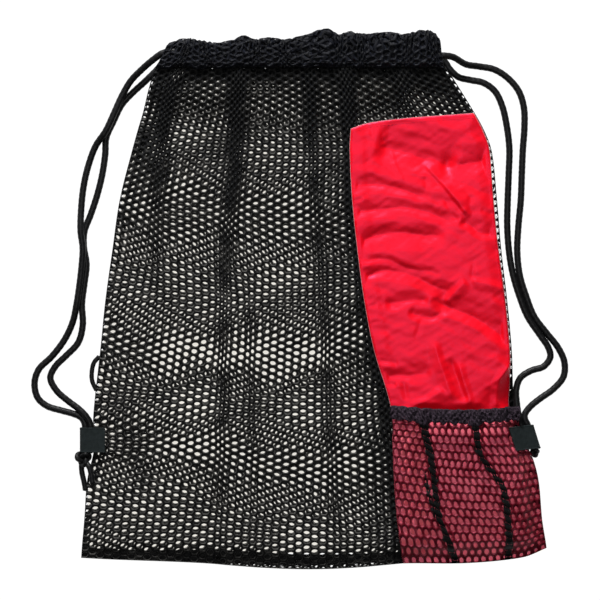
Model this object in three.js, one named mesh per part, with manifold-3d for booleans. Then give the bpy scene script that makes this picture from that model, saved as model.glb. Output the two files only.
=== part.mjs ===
// A mesh drawstring swim bag lying empty on its back, with its mouth towards +Y.
// Millimetres, +Z up. The origin is on the ground under the middle of the bag's own outline.
import * as THREE from "three";
import { mergeVertices } from "three/addons/utils/BufferGeometryUtils.js";
import Module from "manifold-3d";

const wasm = await Module();
wasm.setup();

// Cloth and clearances
const NET = 1.6; // wall of the net
const NYLON = 1.0; // wall of the red panel
const SEAM = 1.2; // doubled seam inside the edges
const GAP = 0.3; // clearance between pieces that lie on each other
const PANEL_LIFT = 0.5; // clearance under the red panel and under the pocket
const CORD = 5.4; // drawcord diameter
const LOOP_CORD = 4.2; // side loop diameter
const WEBBING = 1.5; // tab webbing
const TAB = 23; // width of the tab along the edge

// Levels of the front wall, all measured on its outer face
const EDGE_Z = NET + GAP + SEAM + GAP + NET; // where it is sewn down
const LOFT = 7.5; // how far the middle stands above the sewn edge
const FLANGE = 5; // width of the sewn edge
const SHOULDER = 20; // width of the rise from the edge to the middle
const MOUTH_FROM = 150; // level where the wall starts to lift to the mouth
const MOUTH_Y = 222; // stitch line under the casings

// Casings
const CASING_LEFT = -142;
const CASING_RIGHT = 122;
const CASING_TALL = 9.4; // section height
const CASING_WALL = 1.4;
const CASING_CUT = 2.4; // cut corner of the section
const MOUTH_OPEN = 6.6; // free height between the casings
const CASING_STEPS = 25;
const FRONT_CASING_Z = CASING_TALL + MOUTH_OPEN;
const MOUTH_Z = FRONT_CASING_Z + CASING_TALL / 2; // the front wall meets its casing at half height

// The red panel's right edge is drawn in from the bag's edge by this share of a column
const PANEL_IN = 0.16;

// Grid of the front wall: columns and half rows, split where the panel and the pocket start
const PANEL_COLUMN = 8;
const PANEL_SHARE = 0.7; // share of the bottom edge left of the panel
const COLUMNS = 13;
const POCKET_ROW = 8;
const PANEL_ROW = 22;
const HALF_ROWS = 25;

// Net gaps, as shares of one column and of one half row
const GAP_SIDE = 0.11; // strand left beside the gap's points
const GAP_CORNER = 0.27; // how far a gap's corner is in from the column's edge
const GAP_FLOOR = 0.21; // strand left below and above the gap

// Sides of the bag: level, left edge, right edge and left edge of the red panel
const SIDES = [
  { y: -260, left: -223.5, right: 224.4, panel: 88 },
  { y: -240, left: -222.5, right: 224.4, panel: 84.5 },
  { y: -211, left: -220, right: 220, panel: 80.5 },
  { y: -173, left: -216, right: 215, panel: 77.5 },
  { y: -149, left: -210.6, right: 206, panel: 76.5 },
  { y: -134, left: -209, right: 200.5, panel: 76 },
  { y: -120, left: -208, right: 195, panel: 76.5 },
  { y: -96, left: -206, right: 190, panel: 73 },
  { y: -48, left: -203.5, right: 189, panel: 58.5 },
  { y: 0, left: -199.7, right: 184.5, panel: 49 },
  { y: 48, left: -193, right: 178.6, panel: 43.5 },
  { y: 96, left: -186, right: 174.5, panel: 38.5 },
  { y: 144, left: -174, right: 170, panel: 35.5 },
  { y: 165, left: -168, right: 162, panel: 36.5 },
  { y: 180, left: -163, right: 153, panel: 36 },
  { y: 202, left: -157, right: 140, panel: 33 },
  { y: 226, left: -149, right: 124, panel: 30 },
];

// Bottom edge: share across the bag and level
const BOTTOM = [
  { across: 0, y: -248 },
  { across: 0.06, y: -249.5 },
  { across: 0.3, y: -252 },
  { across: 0.48, y: -259 },
  { across: 0.58, y: -257.5 },
  { across: 0.7, y: -253 },
  { across: 0.84, y: -252.5 },
  { across: 0.95, y: -247 },
  { across: 1, y: -238 },
];

// Top edge of the red panel and of the pocket: column and level
const PANEL_TOP = [
  { column: 0, y: 165 },
  { column: 8, y: 165 },
  { column: 8.6, y: 170 },
  { column: 10, y: 174 },
  { column: 13, y: 179 },
];
const POCKET_TOP = [
  { column: 0, y: -115 },
  { column: 8, y: -115 },
  { column: 10.5, y: -118.5 },
  { column: 13, y: -116 },
];

// Gather folds of the front wall: x at the mouth, halfway and at the bottom, height, half width, and the
// levels between which the fold runs out
const FOLD_BOTTOM = -250; // level of the bottom column; the middle one is at the origin's level
const FOLDS = [
  { mouth: -118, middle: -142, bottom: -150, rise: 3.6, half: 17, runs: 120, ends: 20 },
  { mouth: -63, middle: -74, bottom: -62, rise: 4, half: 20, runs: -180, ends: -245 },
  { mouth: -14, middle: -10, bottom: -8, rise: 2.4, half: 15, runs: 160, ends: 80 },
  { mouth: 26, middle: 28, bottom: 66, rise: 3.2, half: 16, runs: 0, ends: -140 },
  { mouth: 84, middle: 90, bottom: 95, rise: 2.4, half: 18, runs: 205, ends: 182 },
];

// Ruffled top edge of the casings: x, level of the edge and how far the cloth puffs up there
const RUFFLES = [
  { x: -142, top: 243, puff: 0 },
  { x: -133, top: 247, puff: 0.4 },
  { x: -119, top: 249.6, puff: 1.2 },
  { x: -97, top: 246.2, puff: 0.3 },
  { x: -80, top: 247.5, puff: 1 },
  { x: -65, top: 252.5, puff: 1.6 },
  { x: -56, top: 249, puff: 0.3 },
  { x: -43, top: 250.6, puff: 1.1 },
  { x: -25, top: 249, puff: 0.2 },
  { x: -8, top: 253, puff: 1 },
  { x: 15, top: 259.2, puff: 1.8 },
  { x: 24, top: 253.5, puff: 0.4 },
  { x: 34, top: 256.3, puff: 1.3 },
  { x: 48, top: 254.2, puff: 0.3 },
  { x: 70, top: 255.8, puff: 1.4 },
  { x: 88, top: 254.2, puff: 0.3 },
  { x: 105, top: 257.6, puff: 1.5 },
  { x: 115, top: 255.4, puff: 0.4 },
  { x: 122, top: 248, puff: 0 },
];
const BACK_CASING_DROP = 2; // the back casing's edge is a little lower

// Creases of the red panel: from and to in columns and half rows, height and half width in mm
const CREASE_FADE = [-15, 12]; // a crease fades out from inside its end to beyond it
const CREASES = [
  { column: 8.3, row: 20.6, toColumn: 12.8, toRow: 20.2, rise: 1.6, half: 11 },
  { column: 10.3, row: 19.6, toColumn: 12.4, toRow: 16.4, rise: 2.4, half: 10 },
  { column: 8.2, row: 17.6, toColumn: 10.2, toRow: 18.6, rise: 1.5, half: 12 },
  { column: 8.2, row: 16.2, toColumn: 11.2, toRow: 15.4, rise: 1.8, half: 12 },
  { column: 10.4, row: 12.8, toColumn: 12.8, toRow: 11.2, rise: 2.4, half: 11 },
  { column: 8.2, row: 12.2, toColumn: 10.2, toRow: 13.2, rise: 1.6, half: 12 },
  { column: 8.4, row: 10.2, toColumn: 11.4, toRow: 9.8, rise: 1.5, half: 11 },
];

// Pocket: how far it bellies over the panel, and its folds by column at the top and at the bottom
const POCKET_EDGE_Z = EDGE_Z + PANEL_LIFT + NYLON + PANEL_LIFT + NET;
const POCKET_LOFT = 7;
const POCKET_FLANGE = 4;
const POCKET_SHOULDER = 14;
const POCKET_FOLDS = [
  { top: 9.1, bottom: 9.9, rise: 3, half: 0.5 },
  { top: 11.4, bottom: 11.8, rise: 2, half: 0.5 },
  { top: 12.3, bottom: 12.2, rise: 2.5, half: 0.4 },
];
const ELASTIC = 2.2; // thickness of the pocket's band
const ELASTIC_TALL = 11.5;

// Tabs: point of the bag's edge in the middle of each tab, the turn of its outward side, and the level of
// its sewn part at the edge and at its inner end
const TABS = [
  { name: "tab_left", x: -210.6, y: -134.5, turn: Math.PI, edge: EDGE_Z + GAP, inner: 8 },
  { name: "tab_right", x: 201.9, y: -132.2, turn: 0.36, edge: POCKET_EDGE_Z + GAP, inner: 15.2 },
];
const TAB_OUT = 13.6; // reach of the loop outside the edge
const TAB_IN = 11; // reach of the sewn part over the bag
const TAB_TOP = WEBBING + GAP + CORD + GAP + WEBBING;
const TAB_LOW = 0.1; // the loop just clears the ground
const TAB_BEND = 2; // cut corner of the loop's outside

// Lobes of a knot: middle, half sizes
const KNOT_LOBES = [
  { x: -2.6, y: 1.6, z: 4.6, rx: 5, ry: 4.4, rz: 4.4 },
  { x: 2.8, y: 1.8, z: 4.4, rx: 4.4, ry: 4, rz: 4.2 },
  { x: 0.2, y: -2.4, z: 5.2, rx: 5.4, ry: 3.8, rz: 4.4 },
];
const KNOT_LEFT = { x: -221, y: -153.4, size: 1 };
const KNOT_RIGHT = { x: 213.5, y: -146.8, size: 0.78 };
const TAILS = [
  [[-223, -156, 3], [-224, -166, 3], [-222.6, -175, 3], [-221, -183, 3]],
  [[-218, -156, 6], [-214.6, -161, 8.6], [-212.8, -168, 8.8], [-211.6, -176, 9]],
];

// Cord routes, from the left knot over the ground, through the casing and down to the right knot
const CORD_FRONT_ROUTE = [
  [-219.4, -146.4, 4.6], [-219.4, -134, 4.6], [-219.2, -117.6, 4.6], [-223.6, -112, 3.6], [-231, -109.4, 3],
  [-242, -106, 2.8], [-256, -102, 2.8], [-265, -94, 2.8], [-268, -80, 2.8], [-264, -67, 2.8],
  [-251, -54, 2.9], [-239, -38, 3.2], [-231, -21, 5], [-227, -4, 7.6], [-224, 16, 7.6], [-222, 34, 7.6],
  [-221, 50, 8.4], [-223, 66, 8.6], [-223, 86, 5], [-221, 108, 3], [-216, 130, 3.2], [-209, 148, 5],
  [-199, 162, 8.6], [-191, 179, 8.6], [-184, 195, 7], [-175, 210, 9], [-163, 224, 14], [-151, 232, 19.4],
  [-142, 233, 20.7], [-130, 233, 20.7], [-10, 233, 20.7], [110, 233, 20.7], [122, 233, 20.7],
  [133, 232, 18.6], [147, 226, 9], [160, 224.6, 4.2], [174, 222, 3], [187, 214, 2.8], [198, 201, 2.8],
  [203, 185, 2.8], [203.5, 166, 2.8], [202, 145, 2.8], [201, 122, 2.8], [200, 96, 2.8], [197.6, 70, 2.8],
  [196.6, 46, 2.8], [199, 24, 2.8], [205, 4, 2.8], [213, -16, 2.8], [225, -32, 2.8], [236, -46, 2.8],
  [242, -60, 2.8], [241, -74, 2.8], [231, -86, 2.8], [219, -94.6, 2.8], [209.6, -102.6, 3.1],
  [204.8, -110, 4], [204.5, -115, 4.6], [206, -118.3, 4.6], [210.1, -129.1, 4.6], [214.4, -140.3, 4.6],
];
const CORD_BACK_ROUTE = [
  [-213.6, -146.4, 4.6], [-213.6, -134, 4.6], [-213.4, -118, 4.6], [-216, -108.6, 3.6], [-224, -102, 2.9],
  [-236, -95, 2.8], [-248, -85, 2.8], [-252.6, -74, 2.8], [-248, -64, 2.8], [-238, -54, 2.8],
  [-226, -41, 2.8], [-221.6, -24, 2.8], [-222.4, -4, 2.8], [-220, 16, 2.8], [-218, 34, 2.8],
  [-220.6, 52, 2.8], [-220, 66, 2.8], [-214, 82, 2.8], [-208, 100, 2.8], [-203, 120, 2.8],
  [-200, 140, 2.8], [-199, 156, 2.8], [-192, 172, 2.8], [-184, 188, 2.8], [-173, 202, 2.8],
  [-163, 212, 3.8], [-153, 223, 4.7], [-146, 231, 4.7], [-142, 233, 4.7], [-130, 233, 4.7], [-10, 233, 4.7],
  [110, 233, 4.7], [122, 233, 4.7], [127, 229, 4.7], [131.6, 222, 4.6], [140, 214.6, 3.4], [152, 211.6, 2.8],
  [164, 209, 2.8], [175, 201, 2.8], [182, 187, 2.8], [186.4, 168, 2.8], [189, 146, 2.8], [188.4, 122, 2.8],
  [187.4, 96, 2.8], [187, 70, 2.8], [189, 44, 2.8], [192.6, 24, 2.8], [198.6, 4, 2.8], [206.6, -16, 2.8],
  [218, -33, 2.8], [226.6, -46, 2.8], [228.4, -55, 2.8], [222, -64, 2.8], [210, -68, 2.8],
  [199.6, -75, 2.8], [195.6, -86, 2.8], [196, -100, 3.2], [197, -110, 4.4],
  [199.3, -117.1, 4.6], [204.7, -131.1, 4.6], [208.9, -142.4, 4.6],
];
const LOOP_ROUTE = [
  [-206.4, -52.6, 2.2], [-212, -59, 2.2], [-214.6, -69, 2.2], [-213.6, -79, 2.2], [-207.6, -88, 2.2],
];
const CORD_STEPS = 72;
const LOOP_STEPS = 8;
const TAIL_STEPS = 5;
const CORD_FACES = 8;

// Colours
const BLACK_NET = new THREE.MeshStandardMaterial({ color: 0x15161a, roughness: 0.7, metalness: 0 });
const RED_NYLON = new THREE.MeshStandardMaterial({ color: 0xd0102c, roughness: 0.5, metalness: 0 });
const BLACK_WEBBING = new THREE.MeshStandardMaterial({ color: 0x20282a, roughness: 0.8, metalness: 0 });
const BLACK_CORD = new THREE.MeshStandardMaterial({ color: 0x0c0c0e, roughness: 0.6, metalness: 0 });

const bag = new THREE.Group();

function add(name, geometry, material) {
  const mesh = new THREE.Mesh(geometry, material);
  mesh.name = name;
  bag.add(mesh);
}

// Smooth step from 0 at one value to 1 at another
function ramp(from, to, value) {
  return THREE.MathUtils.smoothstep((value - from) / (to - from), 0, 1);
}

// Rounded hill of height 1 in the middle and 0 at the half width
function hill(offset, half) {
  const share = Math.min(Math.abs(offset) / half, 1);
  return 0.5 + 0.5 * Math.cos(Math.PI * share);
}

// Smooth curve through a column of a table
function through(rows, key, column, value) {
  const last = rows.length - 1;
  let i = 0;
  while (i < last - 1 && value > rows[i + 1][key]) i += 1;
  const a = rows[i];
  const b = rows[i + 1];
  const before = rows[Math.max(i - 1, 0)];
  const after = rows[Math.min(i + 2, last)];
  const width = b[key] - a[key];
  const share = THREE.MathUtils.clamp((value - a[key]) / width, 0, 1);
  const slopeA = ((b[column] - before[column]) / (b[key] - before[key])) * width;
  const slopeB = ((after[column] - a[column]) / (after[key] - a[key])) * width;
  const s2 = share * share;
  const s3 = s2 * share;
  return (
    (2 * s3 - 3 * s2 + 1) * a[column] +
    (s3 - 2 * s2 + share) * slopeA +
    (3 * s2 - 2 * s3) * b[column] +
    (s3 - s2) * slopeB
  );
}

const side = (name, y) => through(SIDES, "y", name, y);
const bottomAt = (across) => through(BOTTOM, "across", "y", across);

// Position on the bag of a point of the front grid, in columns and half rows
function place(column, row) {
  const panelTop = through(PANEL_TOP, "column", "y", column);
  const pocketTop = through(POCKET_TOP, "column", "y", column);
  const onPanel = (column - PANEL_COLUMN) / (COLUMNS - PANEL_COLUMN);
  const share = column <= PANEL_COLUMN
    ? (PANEL_SHARE * column) / PANEL_COLUMN
    : THREE.MathUtils.lerp(PANEL_SHARE, 1, onPanel);
  const floor = bottomAt(share);
  let y;
  if (row <= POCKET_ROW) {
    y = floor + ((pocketTop - floor) * row) / POCKET_ROW;
  } else if (row <= PANEL_ROW) {
    y = pocketTop + ((panelTop - pocketTop) * (row - POCKET_ROW)) / (PANEL_ROW - POCKET_ROW);
  } else {
    y = panelTop + ((MOUTH_Y - panelTop) * (row - PANEL_ROW)) / (HALF_ROWS - PANEL_ROW);
  }
  const left = side("left", y);
  const right = side("right", y);
  const panel = side("panel", y);
  const x = column <= PANEL_COLUMN
    ? THREE.MathUtils.lerp(left, panel, column / PANEL_COLUMN)
    : THREE.MathUtils.lerp(panel, right, onPanel);
  return { x, y, inside: Math.min(x - left, right - x, y - floor) };
}

// Height of the gather folds at a point of the bag
function foldRise(x, y) {
  let rise = 0;
  for (const fold of FOLDS) {
    const upper = THREE.MathUtils.lerp(fold.middle, fold.mouth, ramp(0, MOUTH_Y, y));
    const line = THREE.MathUtils.lerp(fold.bottom, upper, ramp(FOLD_BOTTOM, 0, y));
    rise += fold.rise * hill(x - line, fold.half) * ramp(fold.ends, fold.runs, y);
  }
  return rise;
}

// Outer face of the front wall
function frontFace(column, row) {
  const { x, y, inside } = place(column, row);
  const crown = ramp(FLANGE, FLANGE + SHOULDER, inside);
  const open = ramp(MOUTH_FROM, MOUTH_Y, y);
  const lying = EDGE_Z + LOFT * crown;
  const z = THREE.MathUtils.lerp(lying, MOUTH_Z, open) + foldRise(x, y) * Math.max(crown, open);
  return new THREE.Vector3(x, y, z);
}

// Point of the front wall's flat facets, on which the red panel and the pocket are laid
function frontFacet(column, row) {
  const c = Math.min(Math.floor(column), COLUMNS - 1);
  const r = Math.min(Math.floor(row), HALF_ROWS - 1);
  const across = column - c;
  const up = row - r;
  const low = frontFace(c, r);
  const high = frontFace(c + 1, r + 1);
  const third = across > up ? frontFace(c + 1, r) : frontFace(c, r + 1);
  const toThird = Math.abs(across - up);
  const toHigh = Math.min(across, up);
  low.multiplyScalar(1 - toThird - toHigh);
  low.addScaledVector(third, toThird);
  low.addScaledVector(high, toHigh);
  return low;
}

// Height of the red panel's creases
function creaseRise(column, row) {
  const here = place(column, row);
  let rise = 0;
  for (const crease of CREASES) {
    const from = place(crease.column, crease.row);
    const to = place(crease.toColumn, crease.toRow);
    const dx = to.x - from.x;
    const dy = to.y - from.y;
    const long = Math.hypot(dx, dy);
    const along = ((here.x - from.x) * dx + (here.y - from.y) * dy) / long;
    const off = ((here.y - from.y) * dx - (here.x - from.x) * dy) / long;
    const ends = ramp(...CREASE_FADE, along) * ramp(...CREASE_FADE, long - along);
    rise += crease.rise * hill(off, crease.half) * ends;
  }
  return rise;
}

// Outer face of the red panel
function panelFace(column, row) {
  const face = frontFacet(column, row);
  face.z += PANEL_LIFT + NYLON + creaseRise(column, row);
  return face;
}

// Outer face of the pocket, and of the band above it
function pocketFace(column, row) {
  const face = frontFacet(column, row);
  const { x, y, inside } = place(column, row);
  const inner = Math.min(inside, x - side("panel", y));
  const belly = ramp(POCKET_FLANGE, POCKET_FLANGE + POCKET_SHOULDER, inner);
  let rise = POCKET_LOFT * belly;
  for (const fold of POCKET_FOLDS) {
    const line = THREE.MathUtils.lerp(fold.bottom, fold.top, row / POCKET_ROW);
    rise += fold.rise * hill(column - line, fold.half) * belly;
  }
  face.z += POCKET_EDGE_Z - EDGE_Z + rise;
  return face;
}

// Closed wall from an outer face given as triangles: an inner face under it and a rim round every edge
function wall(points, triangles, thickness) {
  const count = points.length;
  const position = [];
  for (const p of points) position.push(p.x, p.y, p.z);
  for (const p of points) position.push(p.x, p.y, p.z - thickness);
  const index = [];
  const edges = new Set();
  for (const [a, b, c] of triangles) {
    index.push(a, b, c, a + count, c + count, b + count);
    for (const edge of [[a, b], [b, c], [c, a]]) edges.add(edge.join(" "));
  }
  for (const edge of edges) {
    const [a, b] = edge.split(" ").map(Number);
    if (edges.has(b + " " + a)) continue;
    index.push(a, a + count, b + count, a, b + count, b);
  }
  const geometry = new THREE.BufferGeometry();
  geometry.setAttribute("position", new THREE.Float32BufferAttribute(position, 3));
  geometry.setIndex(index);
  return geometry;
}

// Net or plain cloth over a grid: columns and half rows from and to, with a six-sided gap in each cell
// that the test passes. Cells are two half rows tall, and every second column is set half a cell up.
function clothGrid(face, from, to, thickness, hasGap) {
  const points = [];
  const found = new Map();
  const triangles = [];
  const corner = (column, row) => {
    const key = column + " " + row;
    if (!found.has(key)) {
      found.set(key, points.length);
      points.push(face(column, row));
    }
    return found.get(key);
  };
  const plain = (column, row) => {
    const a = corner(column, row);
    const b = corner(column + 1, row);
    const c = corner(column + 1, row + 1);
    const d = corner(column, row + 1);
    triangles.push([a, b, c], [a, c, d]);
  };
  const pierced = (column, row) => {
    const rim = [
      [0, 0], [1, 0], [1, 1], [1, 2], [0, 2], [0, 1],
    ].map(([c, r]) => corner(column + c, row + r));
    const hole = [
      [GAP_CORNER, GAP_FLOOR],
      [1 - GAP_CORNER, GAP_FLOOR],
      [1 - GAP_SIDE, 1],
      [1 - GAP_CORNER, 2 - GAP_FLOOR],
      [GAP_CORNER, 2 - GAP_FLOOR],
      [GAP_SIDE, 1],
    ].map(([c, r]) => corner(column + c, row + r));
    for (let k = 0; k < 6; k += 1) {
      const next = (k + 1) % 6;
      triangles.push([rim[k], rim[next], hole[next]], [rim[k], hole[next], hole[k]]);
    }
  };
  for (let column = from.column; column < to.column; column += 1) {
    let row = from.row;
    while (row < to.row) {
      const starts = (row - from.row) % 2 === column % 2;
      if (starts && row + 2 <= to.row && hasGap(column, row)) {
        pierced(column, row);
        row += 2;
      } else {
        plain(column, row);
        row += 1;
      }
    }
  }
  return wall(points, triangles, thickness);
}

// Plain cloth over the grid lines given for columns and rows
function clothPatch(face, columns, rows, thickness) {
  const points = [];
  const triangles = [];
  for (const row of rows) {
    for (const column of columns) points.push(face(column, row));
  }
  for (let j = 0; j + 1 < rows.length; j += 1) {
    for (let i = 0; i + 1 < columns.length; i += 1) {
      const a = j * columns.length + i;
      const d = a + columns.length;
      triangles.push([a, a + 1, d + 1], [a, d + 1, d]);
    }
  }
  return wall(points, triangles, thickness);
}

// Grid lines from one value to another
function lines(from, to, step) {
  const values = [];
  for (let value = from; value <= to; value += step) values.push(value);
  return values;
}

// Flat piece from an outline in the ground plane
function flat(outline, low, thickness) {
  const shape = new THREE.Shape(outline.map(([x, y]) => new THREE.Vector2(x, y)));
  const geometry = new THREE.ExtrudeGeometry(shape, { depth: thickness, bevelEnabled: false });
  geometry.translate(0, 0, low);
  return geometry;
}

// Round cord along a route
function cord(route, diameter, steps) {
  const points = route.map(([x, y, z]) => new THREE.Vector3(x, y, z));
  const path = new THREE.CatmullRomCurve3(points);
  const section = new THREE.Shape();
  for (let k = 0; k < CORD_FACES; k += 1) {
    const angle = (2 * Math.PI * k) / CORD_FACES;
    const x = (diameter / 2) * Math.cos(angle);
    const y = (diameter / 2) * Math.sin(angle);
    if (k === 0) section.moveTo(x, y);
    else section.lineTo(x, y);
  }
  section.closePath();
  return new THREE.ExtrudeGeometry(section, { steps, extrudePath: path, bevelEnabled: false });
}

function solidOf(geometry) {
  const bare = new THREE.BufferGeometry();
  bare.setAttribute("position", geometry.getAttribute("position"));
  if (geometry.index) bare.setIndex(geometry.index);
  const merged = mergeVertices(bare, 1e-4);
  const mesh = new wasm.Mesh({
    numProp: 3,
    vertProperties: merged.attributes.position.array,
    triVerts: new Uint32Array(merged.index.array),
  });
  return new wasm.Manifold(mesh);
}

function geometryOf(solid) {
  const mesh = solid.getMesh();
  const geometry = new THREE.BufferGeometry();
  geometry.setAttribute("position", new THREE.BufferAttribute(mesh.vertProperties, 3));
  geometry.setIndex(new THREE.BufferAttribute(mesh.triVerts, 1));
  return geometry;
}

// Back wall, flat on the ground, and the seam that runs inside the two sides and the bottom
const EDGE_ROWS = 9;
const BOTTOM_POINTS = 14;
const SIDE_SEAM = 4;
const BOTTOM_SEAM = 10;
const SEAM_INSET = 0.8;
function edgeLine(inset, bottomInset, top) {
  const line = [];
  const floor = (share) => bottomAt(share) + bottomInset;
  for (let k = 0; k <= EDGE_ROWS; k += 1) {
    const y = THREE.MathUtils.lerp(top, floor(0), k / EDGE_ROWS);
    line.push([side("left", y) + inset, y]);
  }
  for (let k = 1; k < BOTTOM_POINTS; k += 1) {
    const share = k / BOTTOM_POINTS;
    const y = floor(share);
    line.push([THREE.MathUtils.lerp(side("left", y) + inset, side("right", y) - inset, share), y]);
  }
  for (let k = EDGE_ROWS; k >= 0; k -= 1) {
    const y = THREE.MathUtils.lerp(top, floor(1), k / EDGE_ROWS);
    line.push([side("right", y) - inset, y]);
  }
  return line;
}
add("back_mesh", flat(edgeLine(0, 0, MOUTH_Y), 0, NET), BLACK_NET);
const seamOuter = edgeLine(SEAM_INSET, SEAM_INSET, MOUTH_FROM);
const seamInner = edgeLine(SEAM_INSET + SIDE_SEAM, SEAM_INSET + BOTTOM_SEAM, MOUTH_FROM).reverse();
add("seam_allowance", flat([...seamOuter, ...seamInner], NET + GAP, SEAM), BLACK_NET);

// Front wall of net, left whole where the red panel is sewn over it
const bare = (column, row) => column < PANEL_COLUMN || row >= PANEL_ROW;
const front = clothGrid(
  frontFace, { column: 0, row: 0 }, { column: COLUMNS, row: HALF_ROWS }, NET, bare,
);
add("front_mesh", front, BLACK_NET);

// Red panel
const PANEL_LOW = 0.25;
const panelColumns = [...lines(PANEL_COLUMN, COLUMNS - 0.5, 0.5), COLUMNS - PANEL_IN];
const panelRows = [PANEL_LOW, ...lines(1, POCKET_ROW, 1), ...lines(POCKET_ROW + 0.5, PANEL_ROW, 0.5)];
add("red_panel", clothPatch(panelFace, panelColumns, panelRows, NYLON), RED_NYLON);

// Pocket of net, and the ruched band that ends it
const pocket = clothGrid(
  pocketFace, { column: PANEL_COLUMN, row: 0 }, { column: COLUMNS, row: POCKET_ROW }, NET, () => true,
);
add("pocket_mesh", pocket, BLACK_NET);
function bandFace(column, share) {
  const face = pocketFace(column, POCKET_ROW);
  face.y += GAP + ELASTIC_TALL * share;
  face.z += ELASTIC - NET;
  return face;
}
const bandColumns = [...lines(PANEL_COLUMN, COLUMNS - 0.5, 0.5), COLUMNS - PANEL_IN];
add("pocket_elastic", clothPatch(bandFace, bandColumns, [0, 1], ELASTIC), BLACK_NET);

// Casings: a ruffled tunnel of cut-cornered section, open at both ends
function casing(low, drop, puffs) {
  const ring = (x, inset) => {
    const y0 = MOUTH_Y + GAP + inset;
    const y1 = through(RUFFLES, "x", "top", x) - drop - inset;
    const z0 = low + inset;
    const z1 = low + CASING_TALL + puffs * through(RUFFLES, "x", "puff", x) - inset;
    const cut = CASING_CUT - inset / 2;
    return [
      [y0, z0 + cut], [y0 + cut, z0], [y1 - cut, z0], [y1, z0 + cut],
      [y1, z1 - cut], [y1 - cut, z1], [y0 + cut, z1], [y0, z1 - cut],
    ].map(([y, z]) => [x, y, z]);
  };
  const position = [];
  const index = [];
  const corners = 8;
  for (let i = 0; i <= CASING_STEPS; i += 1) {
    const x = THREE.MathUtils.lerp(CASING_LEFT, CASING_RIGHT, i / CASING_STEPS);
    position.push(...ring(x, 0).flat(), ...ring(x, CASING_WALL).flat());
  }
  const quad = (a, b, c, d) => index.push(a, b, c, a, c, d);
  for (let k = 0; k < corners; k += 1) {
    const next = (k + 1) % corners;
    for (let i = 0; i < CASING_STEPS; i += 1) {
      const here = i * corners * 2;
      const there = here + corners * 2;
      quad(here + k, here + next, there + next, there + k);
      quad(there + corners + k, there + corners + next, here + corners + next, here + corners + k);
    }
    const end = CASING_STEPS * corners * 2;
    quad(k, corners + k, corners + next, next);
    quad(end + k, end + next, end + corners + next, end + corners + k);
  }
  const geometry = new THREE.BufferGeometry();
  geometry.setAttribute("position", new THREE.Float32BufferAttribute(position, 3));
  geometry.setIndex(index);
  return geometry;
}
add("casing_front", casing(FRONT_CASING_Z, 0, 1), BLACK_NET);
add("casing_back", casing(0, BACK_CASING_DROP, 0), BLACK_NET);

// Tabs: a folded strip, its lower layer ending at the bag's edge and its upper layer sewn down on the bag
function tab({ x, y, turn, edge, inner }) {
  const drop = TAB_TOP - WEBBING;
  const seat = Math.max(drop, edge);
  const base = TAB_LOW + WEBBING;
  const wallIn = TAB_OUT - WEBBING;
  const bend = wallIn - TAB_BEND / 2;
  const profile = [
    [GAP, TAB_LOW], [TAB_OUT - TAB_BEND, TAB_LOW], [TAB_OUT, TAB_LOW + TAB_BEND],
    [TAB_OUT, TAB_TOP - TAB_BEND], [TAB_OUT - TAB_BEND, TAB_TOP], [0, seat + WEBBING],
    [-TAB_IN, inner + WEBBING], [-TAB_IN, inner], [0, seat], [bend, drop],
    [wallIn, drop - TAB_BEND / 2], [wallIn, base + TAB_BEND / 2], [bend, base], [GAP, base],
  ];
  const shape = new THREE.Shape(profile.map(([u, w]) => new THREE.Vector2(u, w)));
  const geometry = new THREE.ExtrudeGeometry(shape, { depth: TAB, bevelEnabled: false });
  geometry.translate(0, 0, -TAB / 2);
  geometry.rotateX(Math.PI / 2);
  geometry.rotateZ(turn);
  geometry.translate(x, y, 0);
  return geometry;
}
for (const row of TABS) add(row.name, tab(row), BLACK_WEBBING);

// Drawcords and the side loop
add("cord_front", cord(CORD_FRONT_ROUTE, CORD, CORD_STEPS), BLACK_CORD);
add("cord_back", cord(CORD_BACK_ROUTE, CORD, CORD_STEPS), BLACK_CORD);
add("side_loop", cord(LOOP_ROUTE, LOOP_CORD, LOOP_STEPS), BLACK_CORD);

// Knots: three lobes pressed together, with the cord's two cut tails on the left one
const LOBE_ACROSS = 8;
const LOBE_UP = 6;
function knot({ x, y, size }, tails) {
  let solid = null;
  for (const lobe of KNOT_LOBES) {
    const ball = new THREE.SphereGeometry(1, LOBE_ACROSS, LOBE_UP);
    ball.scale(lobe.rx * size, lobe.ry * size, lobe.rz * size);
    ball.translate(x + lobe.x * size, y + lobe.y * size, lobe.z * size);
    solid = solid ? solid.add(solidOf(ball)) : solidOf(ball);
  }
  for (const tail of tails) solid = solid.add(solidOf(cord(tail, CORD, TAIL_STEPS)));
  return geometryOf(solid);
}
add("knot_left", knot(KNOT_LEFT, TAILS), BLACK_CORD);
add("knot_right", knot(KNOT_RIGHT, []), BLACK_CORD);

export default bag;
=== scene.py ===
# A mesh drawstring swim bag lying empty on its back, with its mouth towards +Y: the finish of every piece.
# Tables and functions are in millimetres, in the frame of the solids; meshes are written in metres.
import math

import bpy
import numpy as np
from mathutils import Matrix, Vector


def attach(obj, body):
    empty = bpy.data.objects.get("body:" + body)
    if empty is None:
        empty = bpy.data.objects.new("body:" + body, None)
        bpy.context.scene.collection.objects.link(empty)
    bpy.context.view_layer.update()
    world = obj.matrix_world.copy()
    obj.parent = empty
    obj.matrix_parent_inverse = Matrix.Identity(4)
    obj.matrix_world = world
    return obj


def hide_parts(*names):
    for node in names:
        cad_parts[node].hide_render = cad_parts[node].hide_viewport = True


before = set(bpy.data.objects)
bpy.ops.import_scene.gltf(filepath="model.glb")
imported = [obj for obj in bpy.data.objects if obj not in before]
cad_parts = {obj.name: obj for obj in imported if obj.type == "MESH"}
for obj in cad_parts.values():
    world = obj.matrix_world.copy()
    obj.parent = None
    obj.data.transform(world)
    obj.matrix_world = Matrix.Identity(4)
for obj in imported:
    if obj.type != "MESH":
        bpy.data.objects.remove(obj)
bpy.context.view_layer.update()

MM = 0.001


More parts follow.
